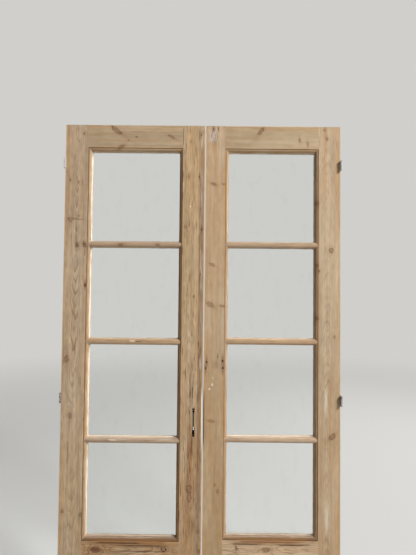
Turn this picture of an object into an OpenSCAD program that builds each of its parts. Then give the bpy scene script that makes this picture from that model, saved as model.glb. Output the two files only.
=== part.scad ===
// Pair of glazed pine french doors: two leaves with mortise and tenon frames,
// mitred ovolo sticking, puttied panes, butt hinges and a mortise lock.
// Millimetres, +Z up, the moulded front faces -Y, the origin is under the middle of the pair.

/* [Pair] */
// Height of both leaves
leaf_h = 2400; // [2300:10:2600]
// Thickness of both leaves
leaf_t = 45; // [43:0.5:56]
// Gap between the two meeting edges
meeting_gap = 5; // [4.5:0.5:12]

/* [Left leaf] */
// Width of the left leaf
left_w = 710.5; // [640:0.5:800]
// Face width of its hinge stile
left_hinge_stile_w = 116; // [95:1:140]
// Face width of its lock stile
left_lock_stile_w = 110.5; // [95:0.5:140]
// Face width of its bottom rail
left_bottom_rail_w = 309.5; // [280:0.5:340]

/* [Right leaf] */
// Width of the right leaf
right_w = 686.5; // [620:0.5:780]
// Face width of its hinge stile
right_hinge_stile_w = 111; // [90:1:140]
// Face width of its meeting stile
right_meeting_stile_w = 101.5; // [85:0.5:140]
// Face width of its bottom rail
right_bottom_rail_w = 321.5; // [280:0.5:340]
// Size of the chip broken from its top corner at the meeting edge
chip_size = 7; // [3:0.5:12]

/* [Rails] */
// Face width of the top rails
top_rail_w = 116; // [100:1:140]

/* [Sticking] */
// Drop from the face down to the quirk
quirk_d = 2.5; // [1:0.25:4]
// Width of the flat in the quirk
quirk_w = 1.5; // [1:0.25:3]
// Radius of the ovolo
ovolo_r = 13; // [9:0.5:13]
// Width of the fillet between the ovolo and the reveal
fillet_w = 2; // [1:0.25:3]
// Distance that the mitred point of a glazing bar stays short of the stile's face
point_back = 0.25; // [0.1:0.05:0.5]

/* [Glazing] */
// Depth of the glass behind the front face
glass_setback = 33; // [30:0.5:34]
// Thickness of the glass
glass_t = 3; // [2:0.5:4]
// Thickness of a glazing bar between its two rebates
bar_tongue_w = 10.5; // [8:0.5:14]
// Gap round the glass inside its rebate
glass_clear = 1.5; // [0.5:0.25:3]
// Distance the putty stays back from the edge of sight
putty_back = 1; // [0.5:0.25:2]
// Thickness of the putty's edge at the back face
putty_lip = 1; // [0.5:0.25:2]

/* [Joinery] */
// Depth of the tenons behind the front face
tenon_setback = 18.5; // [17.5:0.5:19]
// Thickness of the tenons
tenon_t = 12; // [8:0.5:13]
// Height of the top rail's tenon
top_tenon_h = 66; // [50:1:72]
// Distance of the top rail's tenon below the leaf's top
top_tenon_drop = 28; // [22:1:32]
// Height of the lower of the bottom rail's two tenons above the leaf's foot
bottom_tenon_rise = 40; // [30:1:50]
// Distance of the upper of them below the bottom rail's shoulder
bottom_tenon_drop = 29.5; // [20:0.5:40]
// Clearance round a tenon in its mortise
tenon_fit = 0.15; // [0.05:0.05:0.3]
// Length of the tenon wedges
wedge_l = 62; // [40:1:75]
// Thickness of a wedge at its struck end
wedge_t = 6; // [4:0.5:8]
// Thickness of a wedge at its tip
wedge_tip = 1; // [0.6:0.1:2]
// Length of a glazing bar's stub tenon beyond its mitred point
stub_l = 22; // [15:1:28]
// Height of a glazing bar's stub tenon
stub_h = 10; // [7:0.5:14]

/* [Hinges] */
// Height of a hinge
hinge_h = 48; // [44:1:80]
// Outer radius of the hinge knuckles
knuckle_r = 4.5; // [4:0.1:6]
// Radius of the hinge pin
pin_r = 2.4; // [1.8:0.1:2.8]
// Running clearance of the pin in the knuckles
pin_fit = 0.05; // [0.02:0.01:0.09]
// Gap between neighbouring knuckles
knuckle_gap = 0.3; // [0.2:0.1:0.6]
// Thickness of a hinge leaf
plate_t = 2.4; // [1.8:0.1:2.6]
// Depth of a hinge leaf behind the front face
plate_reach = 27; // [24:0.5:32]
// Distance that the barrel reaches past the back of a hinge leaf
barrel_lap = 0.3; // [0.2:0.05:0.5]
// Gap between the left leaf's hinge barrels and its front face
left_barrel_gap = 1; // [0.6:0.1:4]
// Gap between the right leaf's hinge barrels and its front face
right_barrel_gap = 9.5; // [0.6:0.1:12]
// Radius of the pin's button heads
pin_head_r = 3.6; // [3.2:0.1:3.9]
// Thickness of the pin's button heads
pin_head_t = 1.6; // [1:0.1:3]
// Depth of the upper hinge's middle below the leaf's top
hinge_top_drop = 200; // [160:1:260]
// Depth of the middle hinge's middle below the leaf's top
hinge_mid_drop = 1387; // [1250:1:1480]
// Wood left between the lower hinge and the wedges above and below it
hinge_wood = 10; // [6:0.5:16]
// Depth of the hinge screws behind the front face
hinge_screw_y = 16; // [14:0.5:17]
// Distance between the two screws of a stile-side hinge leaf
stile_screw_pitch = 30; // [28:0.5:34]
// Distance between the two screw holes of a frame-side hinge leaf
frame_hole_pitch = 24; // [20:0.5:26]
// Radius of the frame-side screw holes
frame_hole_r = 2.2; // [2:0.1:2.5]
// Clearance of a plate in the wood round it
plate_fit = 0.3; // [0.1:0.05:0.5]

/* [Screws] */
// Radius of a screw's shank
screw_r = 1.9; // [1.5:0.1:2.2]
// Radius of a screw's head
screw_head_r = 3.9; // [3.3:0.1:4.4]
// Length of a screw
screw_l = 28; // [20:1:35]
// Clearance round a screw
screw_fit = 0.15; // [0.1:0.05:0.3]
// Width of the slot in a screw's head
slot_w = 0.9; // [0.6:0.1:1.2]
// Depth of that slot
slot_d = 0.5; // [0.3:0.1:1]

/* [Lock] */
// Depth of the spindle below the leaf's top
spindle_drop = 1437; // [1380:1:1500]
// Depth of the keyhole's round end below the spindle
key_drop = 95; // [92:1:100]
// Distance of spindle and keyhole from the meeting edge
backset = 44; // [40:0.5:48]
// Length of the lock's faceplate
faceplate_l = 252; // [246:1:270]
// Width of the lock's faceplate
faceplate_w = 20; // [18:0.5:24]
// Thickness of the lock's faceplate
faceplate_t = 3; // [2:0.25:4]
// Distance of the faceplate's top above the spindle
faceplate_rise = 94; // [90:1:104]
// Depth of the lock case behind the faceplate
case_l = 70; // [66:1:74]
// Height of the lock case
case_h = 194; // [188:1:198]
// Thickness of the lock case
case_t = 14; // [13:0.5:16]
// Thickness of the case's sheet
case_wall = 1.5; // [1:0.1:2]
// Distance of the case's top above the spindle
case_rise = 63; // [58:1:66]
// Clearance of the case in the wood
case_fit = 0.5; // [0.2:0.1:1]
// Radius of the keyhole's round end in the case
case_key_r = 4.5; // [3.5:0.1:5]
// Width of the keyhole's slot in the case
case_key_w = 6; // [4.5:0.1:7]
// Length of that slot
case_key_l = 17; // [14:0.5:20]
// Radius of the follower
follower_r = 11; // [9:0.5:13]
// Radius of the follower's journals in the case
journal_r = 7; // [6.5:0.1:8]
// Square hole in the follower
spindle_side = 8; // [7:0.25:9]
// Height of the latch bolt
latch_h = 16; // [14:0.5:18]
// Distance of the latch bolt's middle above the spindle
latch_rise = 27; // [25:0.5:30]
// Height of the dead bolt
bolt_h = 30; // [26:0.5:32]
// Depth of the dead bolt's middle below the spindle
bolt_drop = 57; // [54:0.5:60]
// Length of the dead bolt
bolt_l = 48; // [46:0.5:52]
// Length of the latch bolt
latch_l = 46; // [40:0.5:52]
// Length of the bevel on the latch bolt's nose
latch_bevel = 8.3; // [6:0.1:10]
// Side clearance of the bolts in the lock
bolt_fit = 0.3; // [0.2:0.05:0.5]
// Depth of the strike's pockets behind the right leaf's edge
pocket_l = 16; // [15:0.5:20]
// Clearance round the bolts in the strike plate
strike_fit = 1.2; // [0.8:0.1:2]
// Length of the strike plate
strike_l = 186; // [180:1:200]
// Thickness of the strike plate
strike_t = 2; // [1.5:0.25:3]
// Distance of the lock's and the strike's screws from the ends of their plates
lock_screw_in = 12; // [10:0.5:14]

/* [Worn meeting arrises] */
// Depth of the middle of the two worn hollows below the leaves' top
hollow_drop = 1485; // [1400:5:1600]
// Length of a hollow
hollow_l = 340; // [200:5:460]
// Depth of a hollow, square to its slope
hollow_d = 4; // [2:0.25:5]

/* [Worn holes of the lock stile] */
// Radius of the spindle's bore and of the spare bore below it
spindle_hole_r = 6.6; // [6:0.1:7]
// Depth of the spare bore below the spindle
spare_bore_drop = 13; // [10:0.5:13]
// Radius of the worn keyhole's top
key_top_r = 7.5; // [7:0.1:8]
// Width of the worn keyhole below it
key_slot_w = 12; // [10:0.5:13]
// Length of the worn keyhole below its top's middle
key_slot_l = 43; // [36:1:46]
// Width of the scraped groove between the holes
groove_w = 8; // [6:0.5:9]
// Depth of the scraped groove
groove_d = 1.6; // [1:0.1:2.5]

/* [Hidden] */
$fn = 48;
hollow_fn = 720;
bite = 1;
rows = 4;
hinge_count = 3;
front_y = -leaf_t / 2;
back_y = leaf_t / 2;
pair_w = left_w + meeting_gap + right_w;
stick_w = quirk_w + ovolo_r + fillet_w;
stick_d = quirk_d + ovolo_r;
bar_w = 2 * (stick_w - point_back);
rebate_w = (bar_w - bar_tongue_w) / 2;
sight_top = leaf_h - top_rail_w - stick_w;
tenon_y = front_y + tenon_setback;
glass_y = front_y + glass_setback;
putty_y = glass_y + glass_t;
pin_out = knuckle_r - barrel_lap - plate_t;
bore_r = pin_r + pin_fit;
knuckle_h = (hinge_h - 2 * knuckle_gap) / 3;
knuckle_room = knuckle_r + knuckle_gap;
low_z0 = -hinge_h / 2;
mid_z0 = -knuckle_h / 2;
high_z0 = hinge_h / 2 - knuckle_h;
foot_rail_w = min(left_bottom_rail_w, right_bottom_rail_w);
bottom_tenon_space = hinge_h + 2 * (wedge_t + hinge_wood);
bottom_tenon_h = (foot_rail_w - bottom_tenon_rise - bottom_tenon_space - bottom_tenon_drop) / 2;
hinge_foot_rise = bottom_tenon_rise + bottom_tenon_h + bottom_tenon_space / 2;
hinge_zs = [leaf_h - hinge_top_drop, leaf_h - hinge_mid_drop, hinge_foot_rise];
spindle_z = leaf_h - spindle_drop;
key_z = spindle_z - key_drop;
latch_z = spindle_z + latch_rise;
bolt_z = spindle_z - bolt_drop;
faceplate_top = spindle_z + faceplate_rise;
case_top = spindle_z + case_rise;
case_room = case_t - 2 * case_wall;
bolt_t = case_room - 2 * bolt_fit;
strike_z = (latch_z + bolt_z) / 2;

// Height of glass in sight in a pane of a leaf with a bottom rail of face width w
function pane_h(w) = (sight_top - w - stick_w - (rows - 1) * bar_w) / rows;

// A leaf is [width, hinge stile face, meeting stile face, pane height, distance of its pins before the face]
LEFT = [left_w, left_hinge_stile_w, left_lock_stile_w, pane_h(left_bottom_rail_w),
    knuckle_r + left_barrel_gap];
RIGHT = [right_w, right_hinge_stile_w, right_meeting_stile_w, pane_h(right_bottom_rail_w),
    knuckle_r + right_barrel_gap];

function sight_in(leaf) = leaf[1] + stick_w;
function sight_out(leaf) = leaf[0] - leaf[2] - stick_w;
function sight_w(leaf) = sight_out(leaf) - sight_in(leaf);
function pane_top(leaf, row) = sight_top - row * (leaf[3] + bar_w);
function pane_mid(leaf, row) = pane_top(leaf, row) - leaf[3] / 2;
function bar_z(leaf, bar) = pane_top(leaf, bar) + bar_w / 2;
function sight_foot(leaf) = pane_top(leaf, rows - 1) - leaf[3];
function foot_rail_top(leaf) = sight_foot(leaf) - stick_w;
function pin_y(leaf) = front_y - leaf[4];

// Tenons of a leaf's rails as [middle height, height]
function rail_tenons() = [
    [leaf_h - top_tenon_drop - top_tenon_h / 2, top_tenon_h],
    [hinge_foot_rise - (bottom_tenon_space + bottom_tenon_h) / 2, bottom_tenon_h],
    [hinge_foot_rise + (bottom_tenon_space + bottom_tenon_h) / 2, bottom_tenon_h]
];

SIDES = ["left", "right"];

// Leaves are drawn with their hinge edge at x = 0, the left one as it stands and the right one mirrored
module place(side) {
    if (side == "left")
        translate([-pair_w / 2, 0, 0]) children();
    else
        translate([pair_w / 2, 0, 0]) mirror([1, 0, 0]) children();
}

function leaf_of(side) = side == "left" ? LEFT : RIGHT;

// Turns a drawing of x across and y deep into a bar of length l along +Z
module upright(l) {
    linear_extrude(height = l) children();
}

// Turns a drawing of x up and y deep into a bar of length l along +X
module lying(l) {
    rotate([0, -90, 0]) mirror([0, 0, 1]) linear_extrude(height = l) children();
}

// Turns a drawing of x across and y up into a slab from y0 to y1 deep
module slab(y0, y1) {
    translate([0, y1, 0]) rotate([90, 0, 0]) linear_extrude(height = y1 - y0) children();
}

// What the ovolo and the rebate take off a member whose reveal lies on x = 0 with its wood below 0
module sticking_cut() {
    difference() {
        translate([-ovolo_r - fillet_w, front_y + quirk_d - bite])
            square([ovolo_r + fillet_w + bite, ovolo_r + bite]);
        translate([-ovolo_r - fillet_w, front_y + stick_d]) circle(r = ovolo_r);
    }
    translate([-rebate_w, glass_y]) square([rebate_w + bite, leaf_t - glass_setback + bite]);
}

// Section of a member w wide from its back edge to its reveal
module edge_section(w) {
    difference() {
        translate([0, front_y]) square([w, leaf_t]);
        translate([w - stick_w, front_y - bite]) square([stick_w + bite, bite + quirk_d]);
        translate([w, 0]) sticking_cut();
    }
}

// Section of a glazing bar about its middle
module bar_section() {
    difference() {
        translate([-bar_w / 2, front_y + quirk_d]) square([bar_w, leaf_t - quirk_d]);
        translate([bar_w / 2, 0]) sticking_cut();
        mirror([1, 0]) translate([bar_w / 2, 0]) sticking_cut();
    }
}

// Front outline of a glazing bar with its two mitred points
module bar_outline(leaf) {
    point = bar_w / 2;
    polygon([
        [sight_in(leaf) - point, 0], [sight_in(leaf), point], [sight_out(leaf), point],
        [sight_out(leaf) + point, 0], [sight_out(leaf), -point], [sight_in(leaf), -point]
    ]);
}

// Front outline of the top rail between the stiles, mitred at the sticking
module top_rail_outline(leaf) {
    shoulder = leaf_h - top_rail_w;
    polygon([
        [leaf[1], leaf_h], [leaf[0] - leaf[2], leaf_h], [leaf[0] - leaf[2], shoulder],
        [sight_out(leaf), sight_top], [sight_in(leaf), sight_top], [leaf[1], shoulder]
    ]);
}

// Front outline of the bottom rail between the stiles, mitred at the sticking
module bottom_rail_outline(leaf) {
    shoulder = foot_rail_top(leaf);
    polygon([
        [leaf[1], 0], [leaf[0] - leaf[2], 0], [leaf[0] - leaf[2], shoulder],
        [sight_out(leaf), sight_foot(leaf)], [sight_in(leaf), sight_foot(leaf)], [leaf[1], shoulder]
    ]);
}

// Everything that the rails and bars take away from the inner edges of the stiles
module rail_room(leaf) {
    slab(front_y - bite, back_y + bite) {
        top_rail_outline(leaf);
        bottom_rail_outline(leaf);
        for (bar = [1:rows - 1])
            translate([0, bar_z(leaf, bar)]) bar_outline(leaf);
    }
}

// A tenon t = [middle, height] of length l from x = 0, with its fit
module tenon_block(t, l, fit = 0) {
    translate([0, tenon_y - fit, t[0] - t[1] / 2 - fit])
        cube([l, tenon_t + 2 * fit, t[1] + 2 * fit]);
}

// One wedge that lies on a tenon at height 0, thick end at x = 0
module wedge(extra = 0) {
    slab(tenon_y - extra, tenon_y + tenon_t + extra)
        polygon([[-extra, -extra], [-extra, wedge_t + extra], [wedge_l + extra, wedge_tip + extra],
            [wedge_l + extra, -extra]]);
}

// The wedges above and below each tenon at the leaf's edge x = 0
module edge_wedges(extra = 0) {
    for (t = rail_tenons()) {
        translate([0, 0, t[0] + t[1] / 2 + tenon_fit]) wedge(extra);
        translate([0, 0, t[0] - t[1] / 2 - tenon_fit]) mirror([0, 0, 1]) wedge(extra);
    }
}

// Mortises that a stile of face width w needs, drawn with the stile's outer edge at x = 0
module stile_mortises(leaf, w) {
    stub_end = w + stick_w - bar_w / 2 - stub_l - tenon_fit;
    for (t = rail_tenons())
        translate([-bite, 0, 0]) tenon_block(t, w + 2 * bite, tenon_fit);
    edge_wedges(tenon_fit);
    for (bar = [1:rows - 1])
        translate([stub_end, tenon_y - tenon_fit, bar_z(leaf, bar) - stub_h / 2 - tenon_fit])
            cube([stub_l + bar_w, tenon_t + 2 * tenon_fit, stub_h + 2 * tenon_fit]);
}

// A stile of face width w with its outer edge at x = 0, before its mortises
module stile_blank(w) {
    upright(leaf_h) edge_section(w + stick_w);
}

module hinge_stile(leaf) {
    color("burlywood") difference() {
        stile_blank(leaf[1]);
        rail_room(leaf);
        stile_mortises(leaf, leaf[1]);
        for (z = hinge_zs) {
            translate([0, 0, z]) hinge_recess();
            translate([0, 0, z]) hinge_screw_set(screw_fit);
        }
    }
}

module meeting_stile_blank(leaf) {
    difference() {
        translate([leaf[0], 0, 0]) mirror([1, 0, 0]) difference() {
            stile_blank(leaf[2]);
            stile_mortises(leaf, leaf[2]);
        }
        rail_room(leaf);
    }
}

module left_lock_stile() {
    color("burlywood") difference() {
        meeting_stile_blank(LEFT);
        lock_mortise();
        worn_holes();
        from_lock_edge() worn_hollow();
    }
}

module right_meeting_stile() {
    color("burlywood") difference() {
        meeting_stile_blank(RIGHT);
        strike_mortise();
        from_strike_edge() worn_hollow();
        translate([right_w, front_y, leaf_h]) rotate([0, 45, 0])
            cube([chip_size, 2 * chip_size, 2 * chip_size], center = true);
    }
}

// Hollow that hands have worn into the front arris of an edge on x = 0 with its wood at +X
module worn_hollow() {
    r = (hollow_l * hollow_l / 4 + hollow_d * hollow_d) / (2 * hollow_d);
    half_w = hollow_d + bite;
    translate([0, front_y, leaf_h - hollow_drop]) rotate([0, 0, -45])
        translate([-half_w, hollow_d - r, 0]) rotate([0, 90, 0])
            cylinder(r = r, h = 2 * half_w, $fn = hollow_fn);
}

module top_rail(leaf) {
    color("burlywood") {
        intersection() {
            translate([0, 0, leaf_h]) mirror([0, 0, 1])
                lying(leaf[0]) edge_section(top_rail_w + stick_w);
            slab(front_y, back_y) top_rail_outline(leaf);
        }
        tenon_block(rail_tenons()[0], leaf[0]);
    }
}

module bottom_rail(leaf) {
    color("burlywood") {
        intersection() {
            lying(leaf[0]) edge_section(sight_foot(leaf));
            slab(front_y, back_y) bottom_rail_outline(leaf);
        }
        for (i = [1, 2])
            tenon_block(rail_tenons()[i], leaf[0]);
    }
}

module glazing_bar(leaf, bar) {
    reach = bar_w / 2 + stub_l;
    color("burlywood") translate([0, 0, bar_z(leaf, bar)]) {
        intersection() {
            lying(leaf[0]) bar_section();
            slab(front_y, back_y) bar_outline(leaf);
        }
        translate([sight_in(leaf) - reach, tenon_y, -stub_h / 2])
            cube([sight_w(leaf) + 2 * reach, tenon_t, stub_h]);
    }
}

module pane(leaf, row) {
    over = rebate_w - glass_clear;
    color("lightcyan", 0.35)
        translate([sight_in(leaf) - over, glass_y, pane_mid(leaf, row) - leaf[3] / 2 - over])
            cube([sight_w(leaf) + 2 * over, glass_t, leaf[3] + 2 * over]);
}

// Section of the space inside a putty fillet round an opening of the given half width
module putty_section(half) {
    inner = half + putty_back;
    outer = half + rebate_w - putty_lip;
    depth = back_y - putty_y;
    slope = (outer - inner) / depth;
    polygon([
        [-inner + slope * bite, putty_y - bite], [inner - slope * bite, putty_y - bite],
        [outer + slope * bite, back_y + bite], [-outer - slope * bite, back_y + bite]
    ]);
}

module putty(leaf) {
    w = sight_w(leaf) + 2 * rebate_w;
    h = leaf[3] + 2 * rebate_w;
    color("wheat") for (row = [0:rows - 1])
        translate([sight_in(leaf) + sight_w(leaf) / 2, 0, pane_mid(leaf, row)]) difference() {
            translate([-w / 2, putty_y, -h / 2]) cube([w, back_y - putty_y, h]);
            intersection() {
                translate([0, 0, -h]) upright(2 * h) putty_section(sight_w(leaf) / 2);
                translate([-w, 0, 0]) lying(2 * w) putty_section(leaf[3] / 2);
            }
        }
}

module wedges(leaf) {
    color("tan") {
        edge_wedges();
        translate([leaf[0], 0, 0]) mirror([1, 0, 0]) edge_wedges();
    }
}

// Countersunk screw along +X with its head's face on x = 0
module screw(fit = 0, slot = true) {
    cone_l = screw_head_r - screw_r;
    difference() {
        union() {
            rotate([0, 90, 0]) cylinder(r1 = screw_head_r + fit, r2 = screw_r + fit, h = cone_l);
            translate([cone_l - fit, 0, 0]) rotate([0, 90, 0])
                cylinder(r = screw_r + fit, h = screw_l - cone_l + 2 * fit);
        }
        if (slot)
            cube([2 * slot_d, 2 * screw_head_r + bite, slot_w], center = true);
    }
}

module hinge_screw_set(fit = 0, slot = false) {
    for (z = [-stile_screw_pitch / 2, stile_screw_pitch / 2])
        translate([0, front_y + hinge_screw_y, z]) screw(fit, slot);
}

// Room in the stile for one hinge leaf
module hinge_recess() {
    room = hinge_h + 2 * plate_fit;
    translate([-bite, front_y - bite, -room / 2])
        cube([plate_t + bite, plate_reach + plate_fit + bite, room]);
}

module knuckle(leaf, z0) {
    translate([-pin_out, pin_y(leaf), z0]) cylinder(r = knuckle_r, h = knuckle_h);
}

// Blank of a hinge leaf against x = 0, cut away beside the other leaf's knuckles
module plate_blank(leaf, rooms) {
    difference() {
        translate([0, pin_y(leaf), -hinge_h / 2]) cube([plate_t, plate_reach + leaf[4], hinge_h]);
        for (z0 = rooms)
            translate([-pin_out, pin_y(leaf), z0 - knuckle_gap])
                cylinder(r = knuckle_room, h = knuckle_h + 2 * knuckle_gap);
    }
}

module pin_bore(leaf) {
    translate([-pin_out, pin_y(leaf), -hinge_h]) cylinder(r = bore_r, h = 2 * hinge_h);
}

// Hinge leaf that is let into the stile
module hinge_leaf(leaf) {
    color("silver") difference() {
        union() {
            plate_blank(leaf, [low_z0, high_z0]);
            knuckle(leaf, mid_z0);
        }
        pin_bore(leaf);
        hinge_screw_set(screw_fit);
    }
}

// Hinge leaf that is screwed to what the doors hang in
module frame_leaf(leaf) {
    color("silver") difference() {
        union() {
            translate([-2 * pin_out, 0, 0]) mirror([1, 0, 0]) plate_blank(leaf, [mid_z0]);
            knuckle(leaf, low_z0);
            knuckle(leaf, high_z0);
        }
        pin_bore(leaf);
        for (z = [-frame_hole_pitch / 2, frame_hole_pitch / 2])
            translate([-2 * pin_out - plate_t - bite, front_y + hinge_screw_y, z])
                rotate([0, 90, 0]) cylinder(r = frame_hole_r, h = plate_t + 2 * bite);
    }
}

module hinge_pin(leaf) {
    color("silver") translate([-pin_out, pin_y(leaf), 0]) {
        translate([0, 0, -hinge_h / 2 - pin_head_t]) cylinder(r = pin_r, h = hinge_h + 2 * pin_head_t);
        translate([0, 0, hinge_h / 2]) cylinder(r = pin_head_r, h = pin_head_t);
        translate([0, 0, -hinge_h / 2 - pin_head_t]) cylinder(r = pin_head_r, h = pin_head_t);
    }
}

// Plate with round ends on the plane x = 0, reaching t into the wood at +X
module round_plate(top, l, t, fit = 0) {
    r = faceplate_w / 2;
    translate([-fit, -r - fit, top - l + r]) cube([t + fit, 2 * (r + fit), l - 2 * r]);
    for (z = [top - r, top - l + r])
        translate([-fit, 0, z]) rotate([0, 90, 0]) cylinder(r = r + fit, h = t + fit);
}

// Draws what follows from the left leaf's meeting edge, +X into its wood
module from_lock_edge() {
    translate([left_w, 0, 0]) mirror([1, 0, 0]) children();
}

// Draws what follows from the right leaf's meeting edge, +X into its wood
module from_strike_edge() {
    translate([right_w, 0, 0]) mirror([1, 0, 0]) children();
}

// A block of height h and thickness t centred on height z, from x0 to x0 + l
module bolt_block(x0, l, t, h, z) {
    translate([x0, -t / 2, z - h / 2]) cube([l, t, h]);
}

module lock_mortise() {
    from_lock_edge() {
        translate([-bite, 0, 0]) round_plate(faceplate_top, faceplate_l, faceplate_t + bite, plate_fit);
        translate([0, -case_t / 2 - case_fit, case_top - case_h - case_fit])
            cube([faceplate_t + case_l + case_fit, case_t + 2 * case_fit, case_h + 2 * case_fit]);
        lock_screw_set(screw_fit, false);
    }
}

// Bore of the spindle, spare bore, worn keyhole and the scraped groove between them
module worn_holes() {
    deep = leaf_t + 2 * bite;
    from_lock_edge() translate([backset, 0, 0]) {
        for (z = [spindle_z, spindle_z - spare_bore_drop])
            translate([0, back_y + bite, z]) rotate([90, 0, 0]) cylinder(r = spindle_hole_r, h = deep);
        translate([0, back_y + bite, key_z]) rotate([90, 0, 0]) cylinder(r = key_top_r, h = deep);
        slab(front_y - bite, back_y + bite)
            translate([-key_slot_w / 2, key_z - key_slot_l]) square([key_slot_w, key_slot_l]);
        slab(front_y - bite, front_y + groove_d)
            translate([-groove_w / 2, key_z]) square([groove_w, key_drop - spare_bore_drop]);
    }
}

module lock_screw_set(fit = 0, slot = false) {
    for (z = [faceplate_top - lock_screw_in, faceplate_top - faceplate_l + lock_screw_in])
        translate([0, 0, z]) screw(fit, slot);
}

module lock_faceplate() {
    color("darkgoldenrod") from_lock_edge() difference() {
        round_plate(faceplate_top, faceplate_l, faceplate_t);
        bolt_block(-bite, faceplate_t + 2 * bite, bolt_t + 2 * bolt_fit, latch_h + 2 * bolt_fit, latch_z);
        bolt_block(-bite, faceplate_t + 2 * bite, bolt_t + 2 * bolt_fit, bolt_h + 2 * bolt_fit, bolt_z);
        lock_screw_set(screw_fit);
    }
}

module lock_case() {
    inner_h = case_h - 2 * case_wall;
    deep = case_t + 2 * bite;
    color("dimgray") from_lock_edge() difference() {
        translate([faceplate_t, -case_t / 2, case_top - case_h]) cube([case_l, case_t, case_h]);
        translate([faceplate_t - bite, -case_room / 2, case_top - case_h + case_wall])
            cube([case_l - case_wall + bite, case_room, inner_h]);
        translate([backset, case_t / 2 + bite, spindle_z]) rotate([90, 0, 0])
            cylinder(r = journal_r + bolt_fit, h = deep);
        translate([backset, case_t / 2 + bite, key_z]) rotate([90, 0, 0])
            cylinder(r = case_key_r, h = deep);
        slab(-case_t / 2 - bite, case_t / 2 + bite)
            translate([backset - case_key_w / 2, key_z - case_key_l]) square([case_key_w, case_key_l]);
    }
}

module lock_follower() {
    color("dimgray") from_lock_edge() translate([backset, 0, spindle_z]) difference() {
        union() {
            translate([0, bolt_t / 2, 0]) rotate([90, 0, 0]) cylinder(r = follower_r, h = bolt_t);
            translate([0, case_t / 2, 0]) rotate([90, 0, 0]) cylinder(r = journal_r, h = case_t);
        }
        cube([spindle_side, case_t + 2 * bite, spindle_side], center = true);
    }
}

// Latch bolt with a nose that is bevelled at the back
module latch_bolt() {
    color("darkgoldenrod") from_lock_edge() translate([0, 0, latch_z - latch_h / 2]) upright(latch_h)
        polygon([[0, -bolt_t / 2], [latch_l, -bolt_t / 2], [latch_l, bolt_t / 2], [latch_bevel, bolt_t / 2]]);
}

module dead_bolt() {
    color("darkgoldenrod") from_lock_edge() bolt_block(0, bolt_l, bolt_t, bolt_h, bolt_z);
}

module strike_openings(l, extra) {
    bolt_block(-bite, l + bite, bolt_t + 2 * extra, latch_h + 2 * extra, latch_z);
    bolt_block(-bite, l + bite, bolt_t + 2 * extra, bolt_h + 2 * extra, bolt_z);
}

module strike_screw_set(fit = 0, slot = false) {
    for (z = [-strike_l / 2 + lock_screw_in, strike_l / 2 - lock_screw_in])
        translate([0, 0, strike_z + z]) screw(fit, slot);
}

module strike_mortise() {
    from_strike_edge() {
        translate([-bite, 0, 0])
            round_plate(strike_z + strike_l / 2, strike_l, strike_t + bite, plate_fit);
        strike_openings(pocket_l, strike_fit);
        strike_screw_set(screw_fit);
    }
}

module strike_plate() {
    color("darkgoldenrod") from_strike_edge() difference() {
        round_plate(strike_z + strike_l / 2, strike_l, strike_t);
        strike_openings(strike_t + bite, strike_fit);
        strike_screw_set(screw_fit);
    }
}

for (side = SIDES) place(side) {
    leaf = leaf_of(side);
    hinge_stile(leaf);
    top_rail(leaf);
    bottom_rail(leaf);
    putty(leaf);
    wedges(leaf);
    color("silver") for (z = hinge_zs) translate([0, 0, z]) hinge_screw_set(0, true);
    for (i = [1:rows - 1])
        glazing_bar(leaf, i);
    for (i = [1:rows])
        pane(leaf, i - 1);
    for (i = [1:hinge_count]) translate([0, 0, hinge_zs[i - 1]]) {
        hinge_leaf(leaf);
        frame_leaf(leaf);
        hinge_pin(leaf);
    }
}
place("left") {
    left_lock_stile();
    lock_case();
    lock_faceplate();
    latch_bolt();
    dead_bolt();
    lock_follower();
    color("darkgoldenrod") from_lock_edge() lock_screw_set(0, true);  // lock_screws
}
place("right") {
    right_meeting_stile();
    strike_plate();
    color("darkgoldenrod") from_strike_edge() strike_screw_set(0, true);  // strike_screws
}
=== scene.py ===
"""Looks of a pair of stripped pine french doors: aged wood, old glass, putty, hinges and lock."""

import logging
import math
from dataclasses import dataclass, field
from enum import Enum
from typing import Mapping, Sequence

import bmesh
import bpy
from mathutils import Matrix, Vector


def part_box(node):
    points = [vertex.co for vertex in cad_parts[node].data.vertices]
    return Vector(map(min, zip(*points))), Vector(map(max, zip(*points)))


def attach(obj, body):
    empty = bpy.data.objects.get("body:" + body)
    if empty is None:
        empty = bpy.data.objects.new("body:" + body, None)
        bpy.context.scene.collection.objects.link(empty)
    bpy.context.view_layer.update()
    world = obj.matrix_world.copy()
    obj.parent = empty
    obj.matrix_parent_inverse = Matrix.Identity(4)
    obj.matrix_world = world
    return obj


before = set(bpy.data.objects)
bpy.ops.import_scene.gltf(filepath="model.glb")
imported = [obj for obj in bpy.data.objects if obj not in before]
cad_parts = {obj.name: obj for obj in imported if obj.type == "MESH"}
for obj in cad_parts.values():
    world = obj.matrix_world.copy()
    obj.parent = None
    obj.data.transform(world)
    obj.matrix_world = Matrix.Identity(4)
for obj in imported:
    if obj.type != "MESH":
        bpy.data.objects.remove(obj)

log = logging.getLogger("french_doors")

Socket = bpy.types.NodeSocket
Node = bpy.types.Node
Tree = bpy.types.NodeTree
Material = bpy.types.Material
Thing = bpy.types.Object
Value = float | Socket
Triple = tuple[float, float, float]
Tint = Triple | Socket
Place = tuple[float, float]

SIDES = ("left", "right")
ROWS = range(1, 5)
HINGES = range(1, 4)

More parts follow.
